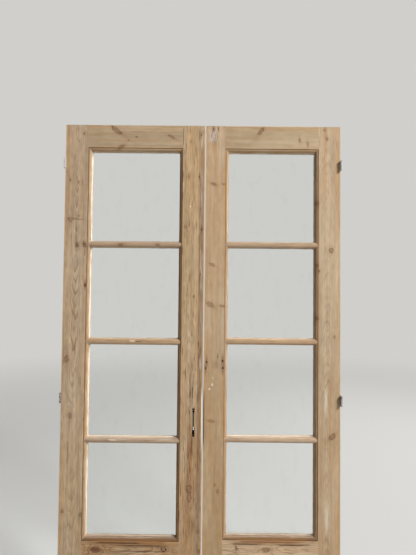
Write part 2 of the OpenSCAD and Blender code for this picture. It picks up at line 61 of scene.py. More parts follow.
# Sizes in millimetres. Depths are counted from the middle of the leaf to the back.
MM = 0.001
FRONT_DEEP = -22.5
FRONT_ONLY = (FRONT_DEEP + 4, FRONT_DEEP + 8)
QUIRK_SUNK = (FRONT_DEEP + 0.3, FRONT_DEEP + 1.4)
MOULDING_SUNK = (FRONT_DEEP + 0.8, FRONT_DEEP + 3.0)
REVEAL_FROM = (-10.5, -8.0)
REVEAL_TO = (10.0, 11.0)
STICK_W = 16.5
TONE_FADE = (250.0, 1500.0)
FOOT_FADE = (850.0, 1350.0)
KNOT_NUDGE = 0.3
MARK_NUDGE = 0.1
WELD = 0.01

# Edges that turn by more are rounded, and shaded crisp.
SHARP = math.radians(38)
CRISP = math.radians(20)

# Sockets of the Mix node that carry its share and its colours.
MIX_INPUTS = (0, 6, 7)
MIX_OUTPUT = 2


def srgb(red: int, green: int, blue: int) -> Triple:
    """Turns a screen colour into a linear one.

    Args:
        red: Red from 0 to 255.
        green: Green from 0 to 255.
        blue: Blue from 0 to 255.

    Returns:
        The linear red, green and blue.
    """
    shares = (channel / 255 for channel in (red, green, blue))
    return tuple(s / 12.92 if s <= 0.04045 else ((s + 0.055) / 1.055) ** 2.4 for s in shares)


class Weave(Enum):
    """How fast a noise changes along, across and deep, per millimetre, or per size of a knot."""

    SWAY = (0.0016, 0.005, 0.005)
    WAVE = (0.009, 0.045, 0.045)
    FIBRE = (0.03, 1.2, 1.2)
    BROAD = (0.0018, 0.06, 0.06)
    FINE = (0.0045, 0.24, 0.24)
    DASH = (0.015, 0.17, 0.17)
    KNOT_LUMPS = (1.3, 1.3, 0.0)
    KNOT_FLECKS = (2.2, 4.5, 0.0)
    NAIL = (0.3, 0.3, 0.0)
    PATCH_EDGE = (0.02, 0.22, 0.0)
    PATCH_FLECKS = (0.014, 0.22, 0.0)
    ARRIS = (0.02, 0.03, 0.03)
    CREASE = (0.008, 0.1, 0.1)
    MOULDING = (0.006, 0.08, 0.08)
    REVEAL = (0.012, 0.09, 0.09)
    DUST = (0.03, 0.03, 0.03)
    PALE = (0.003, 0.02, 0.02)
    AMBER = (0.0016, 0.045, 0.045)
    MOTTLE = (0.018, 0.045, 0.045)
    BOLD = (0.0025, 0.015, 0.015)
    SMEAR = (0.012, 0.022, 0.0)
    GLASS_SPECKS = (0.35, 0.35, 0.0)
    DRAWN_GLASS = (0.006, 0.016, 0.0)
    PUTTY_DIRT = (0.02, 0.05, 0.05)
    PUTTY_CRACKS = (0.045, 0.16, 0.16)
    GRIT = (0.7, 0.7, 0.7)
    PATINA = (0.09, 0.16, 0.16)
    METAL_SPECKS = (0.8, 0.9, 0.9)
    SCRATCHES = (0.25, 3.5, 3.5)


class Graph:
    """Adds nodes to one shader tree and joins them."""

    def __init__(self, tree: Tree) -> None:
        """Keeps the tree that the nodes go into."""
        self.tree = tree

    def node(self, kind: str, **settings: object) -> Node:
        """Adds a node.

        Args:
            kind: Node type without its Shader prefix.
            **settings: Properties of the node.

        Returns:
            The new node.
        """
        made = self.tree.nodes.new(f"ShaderNode{kind}")
        for name, setting in settings.items():
            setattr(made, name, setting)
        return made

    def feed(self, socket: Socket, value: Value | Tint) -> None:
        """Joins a socket to an input, or writes a plain value on it.

        Args:
            socket: The input.
            value: A socket, a number, or a triple for a colour or a vector.
        """
        if isinstance(value, Socket):
            self.tree.links.new(value, socket)
        elif isinstance(value, tuple) and socket.type == "RGBA":
            socket.default_value = (*value, 1.0)
        else:
            socket.default_value = value

    def fill(self, node: Node, values: Mapping[str, Value | Tint]) -> None:
        """Feeds inputs of a node by their names."""
        for name, value in values.items():
            self.feed(node.inputs[name], value)

    def math(self, operation: str, *values: Value, clamp: bool = False) -> Socket:
        """Works out a number from one to three others and returns its socket."""
        made = self.node("Math", operation=operation, use_clamp=clamp)
        for socket, value in zip(made.inputs, values):
            self.feed(socket, value)
        return made.outputs[0]

    def plus(self, first: Value, second: Value, clamp: bool = False) -> Socket:
        """Sum of two numbers."""
        return self.math("ADD", first, second, clamp=clamp)

    def less(self, first: Value, second: Value) -> Socket:
        """The first number less the second."""
        return self.math("SUBTRACT", first, second)

    def times(self, first: Value, second: Value, clamp: bool = False) -> Socket:
        """Product of two numbers."""
        return self.math("MULTIPLY", first, second, clamp=clamp)

    def per(self, first: Value, second: Value) -> Socket:
        """The first number divided by the second."""
        return self.math("DIVIDE", first, second)

    def most(self, first: Value, second: Value) -> Socket:
        """The larger of two numbers."""
        return self.math("MAXIMUM", first, second)

    def line(self, value: Value, slope: Value, start: Value, clamp: bool = False) -> Socket:
        """A start and a slope times a value."""
        return self.math("MULTIPLY_ADD", value, slope, start, clamp=clamp)

    def between(self, share: Value, low: float, high: float) -> Socket:
        """Goes evenly from low to high as a share goes from 0 to 1."""
        return self.line(share, high - low, low)

    def vector(self, operation: str, first: Tint, second: Tint) -> Socket:
        """Works out a vector from two others and returns its socket."""
        made = self.node("VectorMath", operation=operation)
        self.feed(made.inputs[0], first)
        self.feed(made.inputs[1], second)
        return made.outputs[0]

    def shade(self, colour: Tint, amount: Value) -> Socket:
        """Multiplies a colour by a number and returns its socket."""
        made = self.node("VectorMath", operation="SCALE")
        self.feed(made.inputs[0], colour)
        self.feed(made.inputs["Scale"], amount)
        return made.outputs[0]

    def split(self, vector: Socket) -> tuple[Socket, Socket, Socket]:
        """Parts a vector into its three numbers."""
        made = self.node("SeparateXYZ")
        self.feed(made.inputs[0], vector)
        return made.outputs[0], made.outputs[1], made.outputs[2]

    def join(self, x: Value, y: Value, z: Value) -> Socket:
        """Puts three numbers together into a vector."""
        made = self.node("CombineXYZ")
        self.fill(made, {"X": x, "Y": y, "Z": z})
        return made.outputs[0]

    def length(self, x: Value, y: Value) -> Socket:
        """Length of a vector of two numbers."""
        made = self.node("VectorMath", operation="LENGTH")
        self.feed(made.inputs[0], self.join(x, y, 0.0))
        return made.outputs["Value"]

    def noise(self, vector: Socket, detail: float) -> Node:
        """Adds a noise whose scale is already in its vector, and returns its node."""
        made = self.node("TexNoise")
        self.fill(made, {"Vector": vector, "Scale": 1.0, "Detail": detail})
        return made

    def woven(self, vector: Socket, weave: Weave, shift: Tint) -> Socket:
        """A vector stretched and shifted for a noise to be read at."""
        return self.vector("ADD", self.vector("MULTIPLY", vector, weave.value), shift)

    def spread(self, vector: Socket, weave: Weave, shift: Tint, detail: float = 2.0) -> Socket:
        """Noise over a stretched and shifted vector, from 0 to 1.

        Args:
            vector: Where the noise is read.
            weave: How fast it changes along each axis.
            shift: Moves it, so that two boards differ.
            detail: Number of finer layers.

        Returns:
            The socket of the noise.
        """
        return self.noise(self.woven(vector, weave, shift), detail).outputs["Fac"]

    def step(self, value: Value, low: Value, high: Value, start: float = 0.0, end: float = 1.0) -> Socket:
        """Eases from start to end as a value goes from low to high.

        Args:
            value: The value that is read.
            low: Where the change starts.
            high: Where the change ends.
            start: What it gives at low.
            end: What it gives at high.

        Returns:
            The socket of the eased value.
        """
        made = self.node("MapRange", interpolation_type="SMOOTHSTEP")
        self.fill(made, {"Value": value, "From Min": low, "From Max": high, "To Min": start, "To Max": end})
        return made.outputs["Result"]

    def fade(self, value: Value, low: Value, high: Value) -> Socket:
        """Eases from 1 to 0 as a value goes from low to high."""
        return self.step(value, low, high, 1.0, 0.0)

    def mix(self, share: Value, under: Tint, over: Tint) -> Socket:
        """Lays one colour over another.

        Args:
            share: How much of the upper colour shows.
            under: The lower colour.
            over: The upper colour.

        Returns:
            The mixed colour's socket.
        """
        made = self.node("Mix", data_type="RGBA")
        for index, value in zip(MIX_INPUTS, (share, under, over)):
            self.feed(made.inputs[index], value)
        return made.outputs[MIX_OUTPUT]

    def lay(self, under: Tint, over: Tint, mask: Value, share: Value) -> Socket:
        """Lays a share of one colour over another where a mask says so."""
        return self.mix(self.times(mask, share), under, over)

    def group(self, tree: Tree, **values: Value | Tint) -> Node:
        """Places a node group with its own values.

        Args:
            tree: The group.
            **values: One value for each input, by its name with _ for a space.

        Returns:
            The group's node.
        """
        made = self.node("Group", node_tree=tree)
        self.fill(made, {name.replace("_", " ").title(): value for name, value in values.items()})
        return made

    def nudge(self, board: Socket, amount: Value, most: float) -> Socket:
        """Board space moved a little across the grain by a mark, for the next mark to be laid in.

        Args:
            board: Board space.
            amount: What the mark does there.
            most: How far an amount of 1 moves it, in millimetres.

        Returns:
            The moved board space.
        """
        return self.vector("ADD", board, self.join(0.0, self.times(amount, most), 0.0))

    def relief(self, height: Socket, deep: float, strength: float) -> Socket:
        """Turns a height into a normal.

        Args:
            height: The height, from 0 to 1.
            deep: How deep a height of 1 is, in millimetres.
            strength: How much of it shows.

        Returns:
            The normal's socket.
        """
        made = self.node("Bump")
        self.fill(made, {"Strength": strength, "Distance": deep * MM, "Height": height})
        return made.outputs["Normal"]


class Kind(Enum):
    """Kinds of socket on a node group."""

    NUMBER = "NodeSocketFloat"
    VECTOR = "NodeSocketVector"


class Effect:
    """A node group that several materials share."""

    def __init__(self, name: str, vectors: Sequence[str], numbers: Sequence[str], outputs: Sequence[str],
                 passes: Sequence[str] = ()) -> None:
        """Starts an empty group with its named sockets.

        Args:
            name: Name of the group.
            vectors: Names of the inputs that are vectors.
            numbers: Names of the inputs that are numbers.
            outputs: Names of the outputs that are numbers.
            passes: Names of the outputs that are vectors.
        """
        self.tree = bpy.data.node_groups.new(name, "ShaderNodeTree")
        for labels, way, kind in ((vectors, "INPUT", Kind.VECTOR), (numbers, "INPUT", Kind.NUMBER),
                                  (outputs, "OUTPUT", Kind.NUMBER), (passes, "OUTPUT", Kind.VECTOR)):
            for label in labels:
                self.tree.interface.new_socket(name=label, in_out=way, socket_type=kind.value)
        self.graph = Graph(self.tree)
        self.labels = (*vectors, *numbers)
        self.source = self.tree.nodes.new("NodeGroupInput")
        self.sink = self.tree.nodes.new("NodeGroupOutput")

    def take(self) -> list[Socket]:
        """The sockets of the group's inputs in their order, inside the group."""
        return [self.source.outputs[label] for label in self.labels]

    def give(self, **values: Socket) -> Tree:
        """Sends values out of the group, by output name with _ for a space, and returns the group."""
        self.graph.fill(self.sink, {name.replace("_", " ").title(): value for name, value in values.items()})
        return self.tree


def growth_rings() -> Tree:
    """Yearly rings of a tree as a board cuts them. Board is in millimetres along, across and deep."""
    effect = Effect("growth_rings", ("Board",),
                    ("Heart Across", "Heart Deep", "Lean", "Lean Middle", "Ring Width", "Sway", "Push",
                     "Seed"),
                    ("Late Wood", "Streak", "Fibre", "Dash", "Height"))
    wave_high, late_from, late_full, late_end = 5.0, 0.42, 0.9, 0.92
    g = effect.graph
    board, heart_across, heart_deep, lean, middle, width, sway, push, seed = effect.take()
    along, across, deep = g.split(board)
    shift = g.join(g.times(seed, 37.1), g.times(seed, 11.7), seed)
    slow = g.noise(g.woven(board, Weave.SWAY, shift), 1.0)
    wander = g.vector("SUBTRACT", slow.outputs["Color"], (0.5, 0.5, 0.5))
    drift_side, drift_deep, _ = g.split(g.shade(wander, sway))
    side = g.plus(g.less(across, heart_across), drift_side)
    depth = g.plus(g.less(heart_deep, deep), drift_deep)
    depth = g.line(g.less(along, middle), lean, depth)
    radius = g.plus(g.length(side, depth), push)
    wave = g.less(g.spread(board, Weave.WAVE, shift), 0.5)
    phase = g.per(g.line(wave, wave_high, radius), width)
    year = g.node("TexWhiteNoise", noise_dimensions="1D")
    g.feed(year.inputs["W"], g.plus(g.math("FLOOR", phase), seed))
    part = g.math("FRACT", phase)
    late = g.times(g.step(part, late_from, late_full), g.fade(part, late_end, 1.0))
    late = g.times(late, g.between(year.outputs["Value"], 0.35, 1.0))
    fibre = g.spread(board, Weave.FIBRE, shift, 3.0)
    broad = g.spread(board, Weave.BROAD, shift, 3.0)
    fine = g.spread(board, Weave.FINE, shift)
    streak = g.times(g.plus(broad, fine), 0.5)
    dash = g.step(g.spread(board, Weave.DASH, shift), 0.56, 0.72)
    height = g.times(g.plus(late, fibre), 0.5)
    return effect.give(late_wood=late, streak=streak, fibre=fibre, dash=dash, height=height)


def knot_mark() -> Tree:
    """One knot, laid over those before it: its core, its dark rim, the push on the rings and its halo."""
    effect = Effect("knot_mark", ("Board", "Place"),
                    ("Size", "Stretch", "Turn", "Dark", "Ring", "Core In", "Rim In", "Push In", "Halo In"),
                    ("Core", "Rim", "Push", "Halo"), ("Board",))
    ring_pace, push_high, smear_long, fall_off = 15.0, 1.3, 0.55, 0.62
    g = effect.graph
    board, place, size, stretch, turn, dark, ring, core_in, rim_in, push_in, halo_in = effect.take()
    turned = g.node("VectorRotate", rotation_type="Z_AXIS")
    g.fill(turned, {"Vector": g.vector("SUBTRACT", board, place), "Angle": turn})
    along, across, _ = g.split(turned.outputs[0])
    along = g.per(along, g.times(size, stretch))
    across = g.per(across, size)
    unit = g.join(along, across, 0.0)
    lumps = g.spread(unit, Weave.KNOT_LUMPS, place, 3.0)
    fleck = g.spread(unit, Weave.KNOT_FLECKS, place, 3.0)
    reach = g.times(g.length(along, across), g.between(lumps, 0.35, 1.65))
    smear = g.length(g.times(along, smear_long), across)
    fall = g.math("POWER", fall_off, g.times(smear, smear))
    rings = g.line(g.math("SINE", g.times(reach, ring_pace)), 0.2, 0.7)
    full = g.times(dark, g.between(ring, 1.0, 0.3))
    core = g.times(g.times(g.fade(reach, 0.5, 1.1), rings), full)
    rim = g.times(g.step(reach, 0.55, 0.9), g.fade(reach, 0.95, 1.35))
    rim = g.times(g.times(rim, g.step(fleck, 0.3, 0.62)), dark)
    push = g.times(fall, g.times(size, push_high))
    halo = g.times(fall, g.times(g.between(fleck, 0.2, 1.3), dark))
    core, rim, halo = g.most(core, core_in), g.most(rim, rim_in), g.most(halo, halo_in)
    return effect.give(core=core, rim=rim, halo=halo, push=g.plus(push, push_in),
                       board=g.nudge(board, g.plus(rim, g.plus(core, halo)), KNOT_NUDGE))


def nail_hole() -> Tree:
    """One nail hole of the front face, laid over those before it, with the rust that ran along the grain; the
    hole's mask carries painted shade.
    """
    effect = Effect("nail_hole", ("Board", "Place"), ("Size", "Hole In", "Rust In"), ("Hole", "Rust"),
                    ("Board",))
    rust_long, rust_wide = 0.22, 2.4
    g = effect.graph
    board, place, size, hole_in, rust_in = effect.take()
    along, across, _ = g.split(g.vector("SUBTRACT", board, place))
    front = g.fade(g.split(board)[2], *FRONT_ONLY)
    warp = g.between(g.spread(board, Weave.NAIL, place), 0.6, 1.4)
    reach = g.times(g.per(g.length(along, across), size), warp)
    smear = g.per(g.length(g.times(along, rust_long), across), g.times(size, rust_wide))
    hole = g.times(g.fade(reach, 0.7, 1.1), front)
    rust = g.times(g.fade(g.times(smear, warp), 0.1, 1.0), front)
    hole, rust = g.most(hole, hole_in), g.most(rust, rust_in)
    return effect.give(hole=hole, rust=rust, board=g.nudge(board, g.plus(hole, rust), MARK_NUDGE))


def surface_patch() -> Tree:
    """A ragged patch of the front face, such as old paint, a filler plug, a scorch, a bleached streak,
    painted shade or a painted highlight.
    """
    effect = Effect("surface_patch", ("Board", "Place", "Half Size"), ("Soft", "Ragged", "Flecks"), ("Mask",),
                    ("Board",))
    g = effect.graph
    board, place, half, soft, ragged, flecks = effect.take()
    away = g.vector("DIVIDE", g.vector("SUBTRACT", board, place), half)
    along, across, _ = g.split(g.vector("ABSOLUTE", away, (0.0, 0.0, 0.0)))
    edge = g.less(g.spread(board, Weave.PATCH_EDGE, place, 4.0), 0.5)
    reach = g.line(edge, ragged, g.most(along, across))
    mask = g.fade(reach, g.less(1.0, soft), 1.0)
    front = g.fade(g.split(board)[2], *FRONT_ONLY)
    fleck = g.step(g.spread(board, Weave.PATCH_FLECKS, place, 4.0), 0.5, 0.6)
    broken = g.line(g.less(fleck, 1.0), flecks, 1.0)
    mask = g.times(g.times(mask, front), broken)
    return effect.give(mask=mask, board=g.nudge(board, mask, MARK_NUDGE))


def arris_wear() -> Tree:
    """Rubbed wood along one arris, laid over what is worn before it."""
    effect = Effect("arris_wear", ("Board",), ("Edge Across", "Edge Deep", "Reach", "Wear In"), ("Wear",))
    g = effect.graph
    board, edge_across, edge_deep, reach, wear_in = effect.take()
    _, across, deep = g.split(board)
    away = g.length(g.less(across, edge_across), g.less(deep, edge_deep))
    uneven = g.between(g.spread(board, Weave.ARRIS, (3.0, 1.0, 2.0), 3.0), 0.1, 1.7)
    wear = g.fade(g.per(away, g.times(reach, uneven)), 0.4, 1.0)
    return effect.give(wear=g.most(wear, wear_in))


def crease_grime_and_shade() -> Tree:
    """Darkens the quirk beside a moulding: painted shade in the crease, with some old dirt."""
    effect = Effect("crease_grime_and_shade", ("Board",), ("Crease Across", "Reach"), ("Mask",))
    g = effect.graph
    board, crease, reach = effect.take()
    _, across, deep = g.split(board)
    away = g.per(g.math("ABSOLUTE", g.less(across, crease)), reach)
    sunk = g.step(deep, *QUIRK_SUNK)
    uneven = g.between(g.spread(board, Weave.CREASE, (5.0, 2.0, 7.0), 3.0), 0.6, 1.4)
    return effect.give(mask=g.times(g.fade(away, 0.35, 1.0), g.times(sunk, uneven), clamp=True))


def moulding_stain() -> Tree:
    """Old stain left on a moulding by the stripping, and paint on its fillet and the reveal to the glass;
    boards give them shares by the side they face, so the stain also paints shade and the paint a highlight.
    """
    effect = Effect("moulding_stain", ("Board",), ("Middle", "Half"), ("Stain", "Paint"))
    g = effect.graph
    board, middle, half = effect.take()
    _, across, deep = g.split(board)
    away = g.less(g.math("ABSOLUTE", g.less(across, middle)), half)
    inside = g.fade(away, 0.3, 0.9)
    uneven = g.between(g.spread(board, Weave.MOULDING, (8.0, 3.0, 1.0), 3.0), 0.2, 1.5)
    # The stain mask also carries painted shade, and the paint mask a painted highlight, by the shares that
    # the boards give them.
    stain = g.times(g.times(inside, uneven), g.step(deep, *MOULDING_SUNK))
    reveal = g.times(g.step(deep, *REVEAL_FROM), g.fade(deep, *REVEAL_TO))
    left = g.step(g.spread(board, Weave.REVEAL, (2.0, 9.0, 4.0), 4.0), 0.34, 0.6)
    return effect.give(stain=stain, paint=g.times(g.times(inside, reveal), left))


def blotch() -> Tree:
    """Soft uneven patches over a surface, for tarnish, bleaching, smears and dirt."""
    effect = Effect("blotch", ("Where", "Stretch"), ("Low", "High", "Seed"), ("Mask",))
    g = effect.graph
    where, stretch, low, high, seed = effect.take()
    moved = g.vector("ADD", g.vector("MULTIPLY", where, stretch), g.join(seed, seed, seed))
    return effect.give(mask=g.step(g.noise(moved, 4.0).outputs["Fac"], low, high))


def settled_dust() -> Tree:
    """Dust on whatever faces up."""
    effect = Effect("settled_dust", ("Where",), ("Amount",), ("Mask",))
    g = effect.graph
    where, amount = effect.take()
    _, _, up = g.split(g.node("NewGeometry").outputs["Normal"])
    uneven = g.between(g.spread(where, Weave.DUST, (1.0, 4.0, 2.0), 4.0), 0.1, 1.3)
    return effect.give(mask=g.times(g.step(up, 0.55, 0.98), g.times(uneven, amount), clamp=True))


def geometry_tree(name: str) -> tuple[Tree, Socket, Socket]:
    """Starts an empty tree of geometry nodes.

    Args:
        name: Name of the tree.

    Returns:
        The tree, the socket of the shape that comes in and the one of the shape that goes out.
    """
    tree = bpy.data.node_groups.new(name, "GeometryNodeTree")
    for way in ("INPUT", "OUTPUT"):
        tree.interface.new_socket(name="Geometry", in_out=way, socket_type="NodeSocketGeometry")
    return tree, tree.nodes.new("NodeGroupInput").outputs[0], tree.nodes.new("NodeGroupOutput").inputs[0]


def proud_edges() -> Tree:
    """Geometry nodes that mark each sharp edge that stands out, and none that lies in a corner."""
    tree, given, made = geometry_tree("proud_edges")
    g = Graph(tree)
    turn = tree.nodes.new("GeometryNodeInputMeshEdgeAngle")
    mark = tree.nodes.new("GeometryNodeStoreNamedAttribute")
    mark.data_type = "FLOAT"
    mark.domain = "EDGE"
    g.fill(mark, {"Name": "bevel_weight_edge", "Geometry": given,
                  "Value": g.math("LESS_THAN", turn.outputs["Signed Angle"], -SHARP)})
    g.feed(made, mark.outputs["Geometry"])
    return tree


def even_shading() -> Tree:
    """Geometry nodes that shade curved faces smooth, and a flat face flat up to its edges."""
    tree, flow, made = geometry_tree("even_shading")
    g = Graph(tree)
    turn = tree.nodes.new("GeometryNodeInputMeshEdgeAngle")
    crisp = g.math("GREATER_THAN", turn.outputs["Unsigned Angle"], CRISP)
    for domain, chosen, smooth in (("FACE", True, True), ("EDGE", crisp, False)):
        shade = tree.nodes.new("GeometryNodeSetShadeSmooth")
        shade.domain = domain
        g.fill(shade, {"Geometry": flow, "Selection": chosen, "Shade Smooth": smooth})
        flow = shade.outputs["Geometry"]
    g.feed(made, flow)
    return tree


@dataclass
class Effects:
    """The node groups that the finishes share."""

    rings: Tree = field(default_factory=growth_rings)
    knot: Tree = field(default_factory=knot_mark)
    nail: Tree = field(default_factory=nail_hole)
    patch: Tree = field(default_factory=surface_patch)
    wear: Tree = field(default_factory=arris_wear)
    # Painted shade, with some old dirt, in the quirks beside the mouldings.
    grime_and_shade: Tree = field(default_factory=crease_grime_and_shade)
    moulding: Tree = field(default_factory=moulding_stain)
    blotch: Tree = field(default_factory=blotch)
    dust: Tree = field(default_factory=settled_dust)
    edges: Tree = field(default_factory=proud_edges)
    shading: Tree = field(default_factory=even_shading)

    def blotches(self, g: Graph, where: Socket, weave: Weave, low: float, high: float, seed: float) -> Socket:
        """Soft uneven patches.

        Args:
            g: Graph of the material.
            where: Where they are read.
            weave: How fast they change along each axis.
            low: Noise at which a patch starts.
            high: Noise at which it is full.
            seed: Moves the patches.

        Returns:
            The socket of their mask.
        """
        made = g.group(self.blotch, where=where, stretch=weave.value, low=low, high=high, seed=seed)
        return made.outputs["Mask"]

    def dusted(self, g: Graph, where: Socket, amount: float) -> Socket:
        """The mask of an amount of dust on whatever faces up."""
        return g.group(self.dust, where=where, amount=amount).outputs["Mask"]


class Grain(Enum):
    """Which way a board's grain runs."""

    UPRIGHT = "z"
    LYING = "x"


class Moulded(Enum):
    """Which side of a board carries the moulding, counted across the board."""

    LOW = "low"
    HIGH = "high"
    BOTH = "both"


class Stain(Enum):
    """Colours that time has left on the wood; a few patches use them to paint shade and highlights."""

    BROWN = srgb(128, 96, 66)
    OCHRE = srgb(158, 112, 68)
    RUSSET = srgb(104, 60, 40)
    # Dark umber, also used for painted shade.
    UMBER = srgb(74, 52, 36)
    BLACK = srgb(26, 20, 16)
    # Pale paint, also used for a painted highlight.
    PAINT = srgb(196, 184, 172)
    LIME = srgb(208, 194, 184)
    # Pale filler, also used for a painted highlight.
    FILLER_AND_HIGHLIGHT = srgb(236, 222, 200)
    BLEACHED = srgb(205, 192, 172)


@dataclass(frozen=True)
class Knot:
    """A knot at its place along and across the board, in millimetres."""

    along: float
    across: float
    size: float
    stretch: float = 1.3
    turn: float = 0.0
    dark: float = 0.8
    ring: float = 0.0


@dataclass(frozen=True)
class Nail:
    """A nail hole at its place along and across the board, in millimetres."""

    along: float
    across: float
    size: float = 3.0


@dataclass(frozen=True)
class Patch:
    """A ragged patch at its place along and across the board, in millimetres."""

    along: float
    across: float
    half: Place
    stain: Stain
    share: float = 0.8
    soft: float = 0.5
    ragged: float = 0.9
    flecks: float = 0.0


@dataclass(frozen=True)
class Board:
    """One piece of pine: how it was cut from its tree, what has marked it since, and the shade and highlights
    painted on it.
    """

    node: str
    grain: Grain
    moulded: Moulded
    tone: Triple
    heart: Place
    lean: float
    seed: float
    low_tone: Triple | None = None
    lean_middle: float = 1500.0
    ring_w: float = 3.8
    sway: float = 14.0
    figure: float = 0.5
    foot_figure: float = 1.0
    warmth: float = 0.4
    amber: float = 0.3
    streaks: float = 0.9
    mottle: float = 0.4
    dashes: float = 0.1
    # Share of the painted shade, with some old dirt, in the quirks.
    grime_and_shade: float = 0.9
    # A large stain share also paints shade on a moulding, as on one that faces away from the lamp; a large
    # paint share paints a highlight on a reveal that faces the lamp.
    stain: float = 0.2
    paint: float = 0.45
    knots: tuple[Knot, ...] = ()
    nails: tuple[Nail, ...] = ()
    patches: tuple[Patch, ...] = ()

    def sides(self) -> Place:
        """The low and the high side of the board across its grain, in millimetres."""
        low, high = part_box(self.node)
        axis = 0 if self.grain is Grain.UPRIGHT else 2
        return low[axis] / MM, high[axis] / MM

    def creases(self) -> list[float]:
        """Where the quirks beside the mouldings lie across the board, in millimetres."""
        low, high = self.sides()
        return {Moulded.LOW: [low + STICK_W], Moulded.HIGH: [high - STICK_W], Moulded.BOTH: []}[self.moulded]

    def moulding(self) -> Place:
        """Middle and half width of the moulding across the board, in millimetres."""
        low, high = self.sides()
        half = STICK_W / 2
        whole = ((low + high) / 2, (high - low) / 2 + 1)
        choices = {Moulded.LOW: (low + half, half), Moulded.HIGH: (high - half, half), Moulded.BOTH: whole}
        return choices[self.moulded]

    def arrises(self) -> list[float]:
        """Where the plain front arrises lie across the board, in millimetres."""
        low, high = self.sides()
        return {Moulded.LOW: [high], Moulded.HIGH: [low], Moulded.BOTH: []}[self.moulded]


@dataclass(frozen=True)
class Finish:
    """Base of the finishes: starts a material and gives its board space."""

    def start(self, name: str) -> tuple[Material, Graph, Node]:
        """Starts a material.

        Args:
            name: Name of the material.

        Returns:
            The material, its graph and its Principled shader.
        """
        made = bpy.data.materials.new(name)
        made.use_nodes = True
        return made, Graph(made.node_tree), made.node_tree.nodes["Principled BSDF"]

    def board_space(self, g: Graph, grain: Grain) -> Socket:
        """Millimetres along, across and deep in a board.

        Args:
            g: Graph of the material.
            grain: Which way the grain runs.

        Returns:
            The socket of that vector.
        """
        x, y, z = g.split(g.shade(g.node("TexCoord").outputs["Object"], 1 / MM))
        return g.join(z, x, y) if grain is Grain.UPRIGHT else g.join(x, z, y)


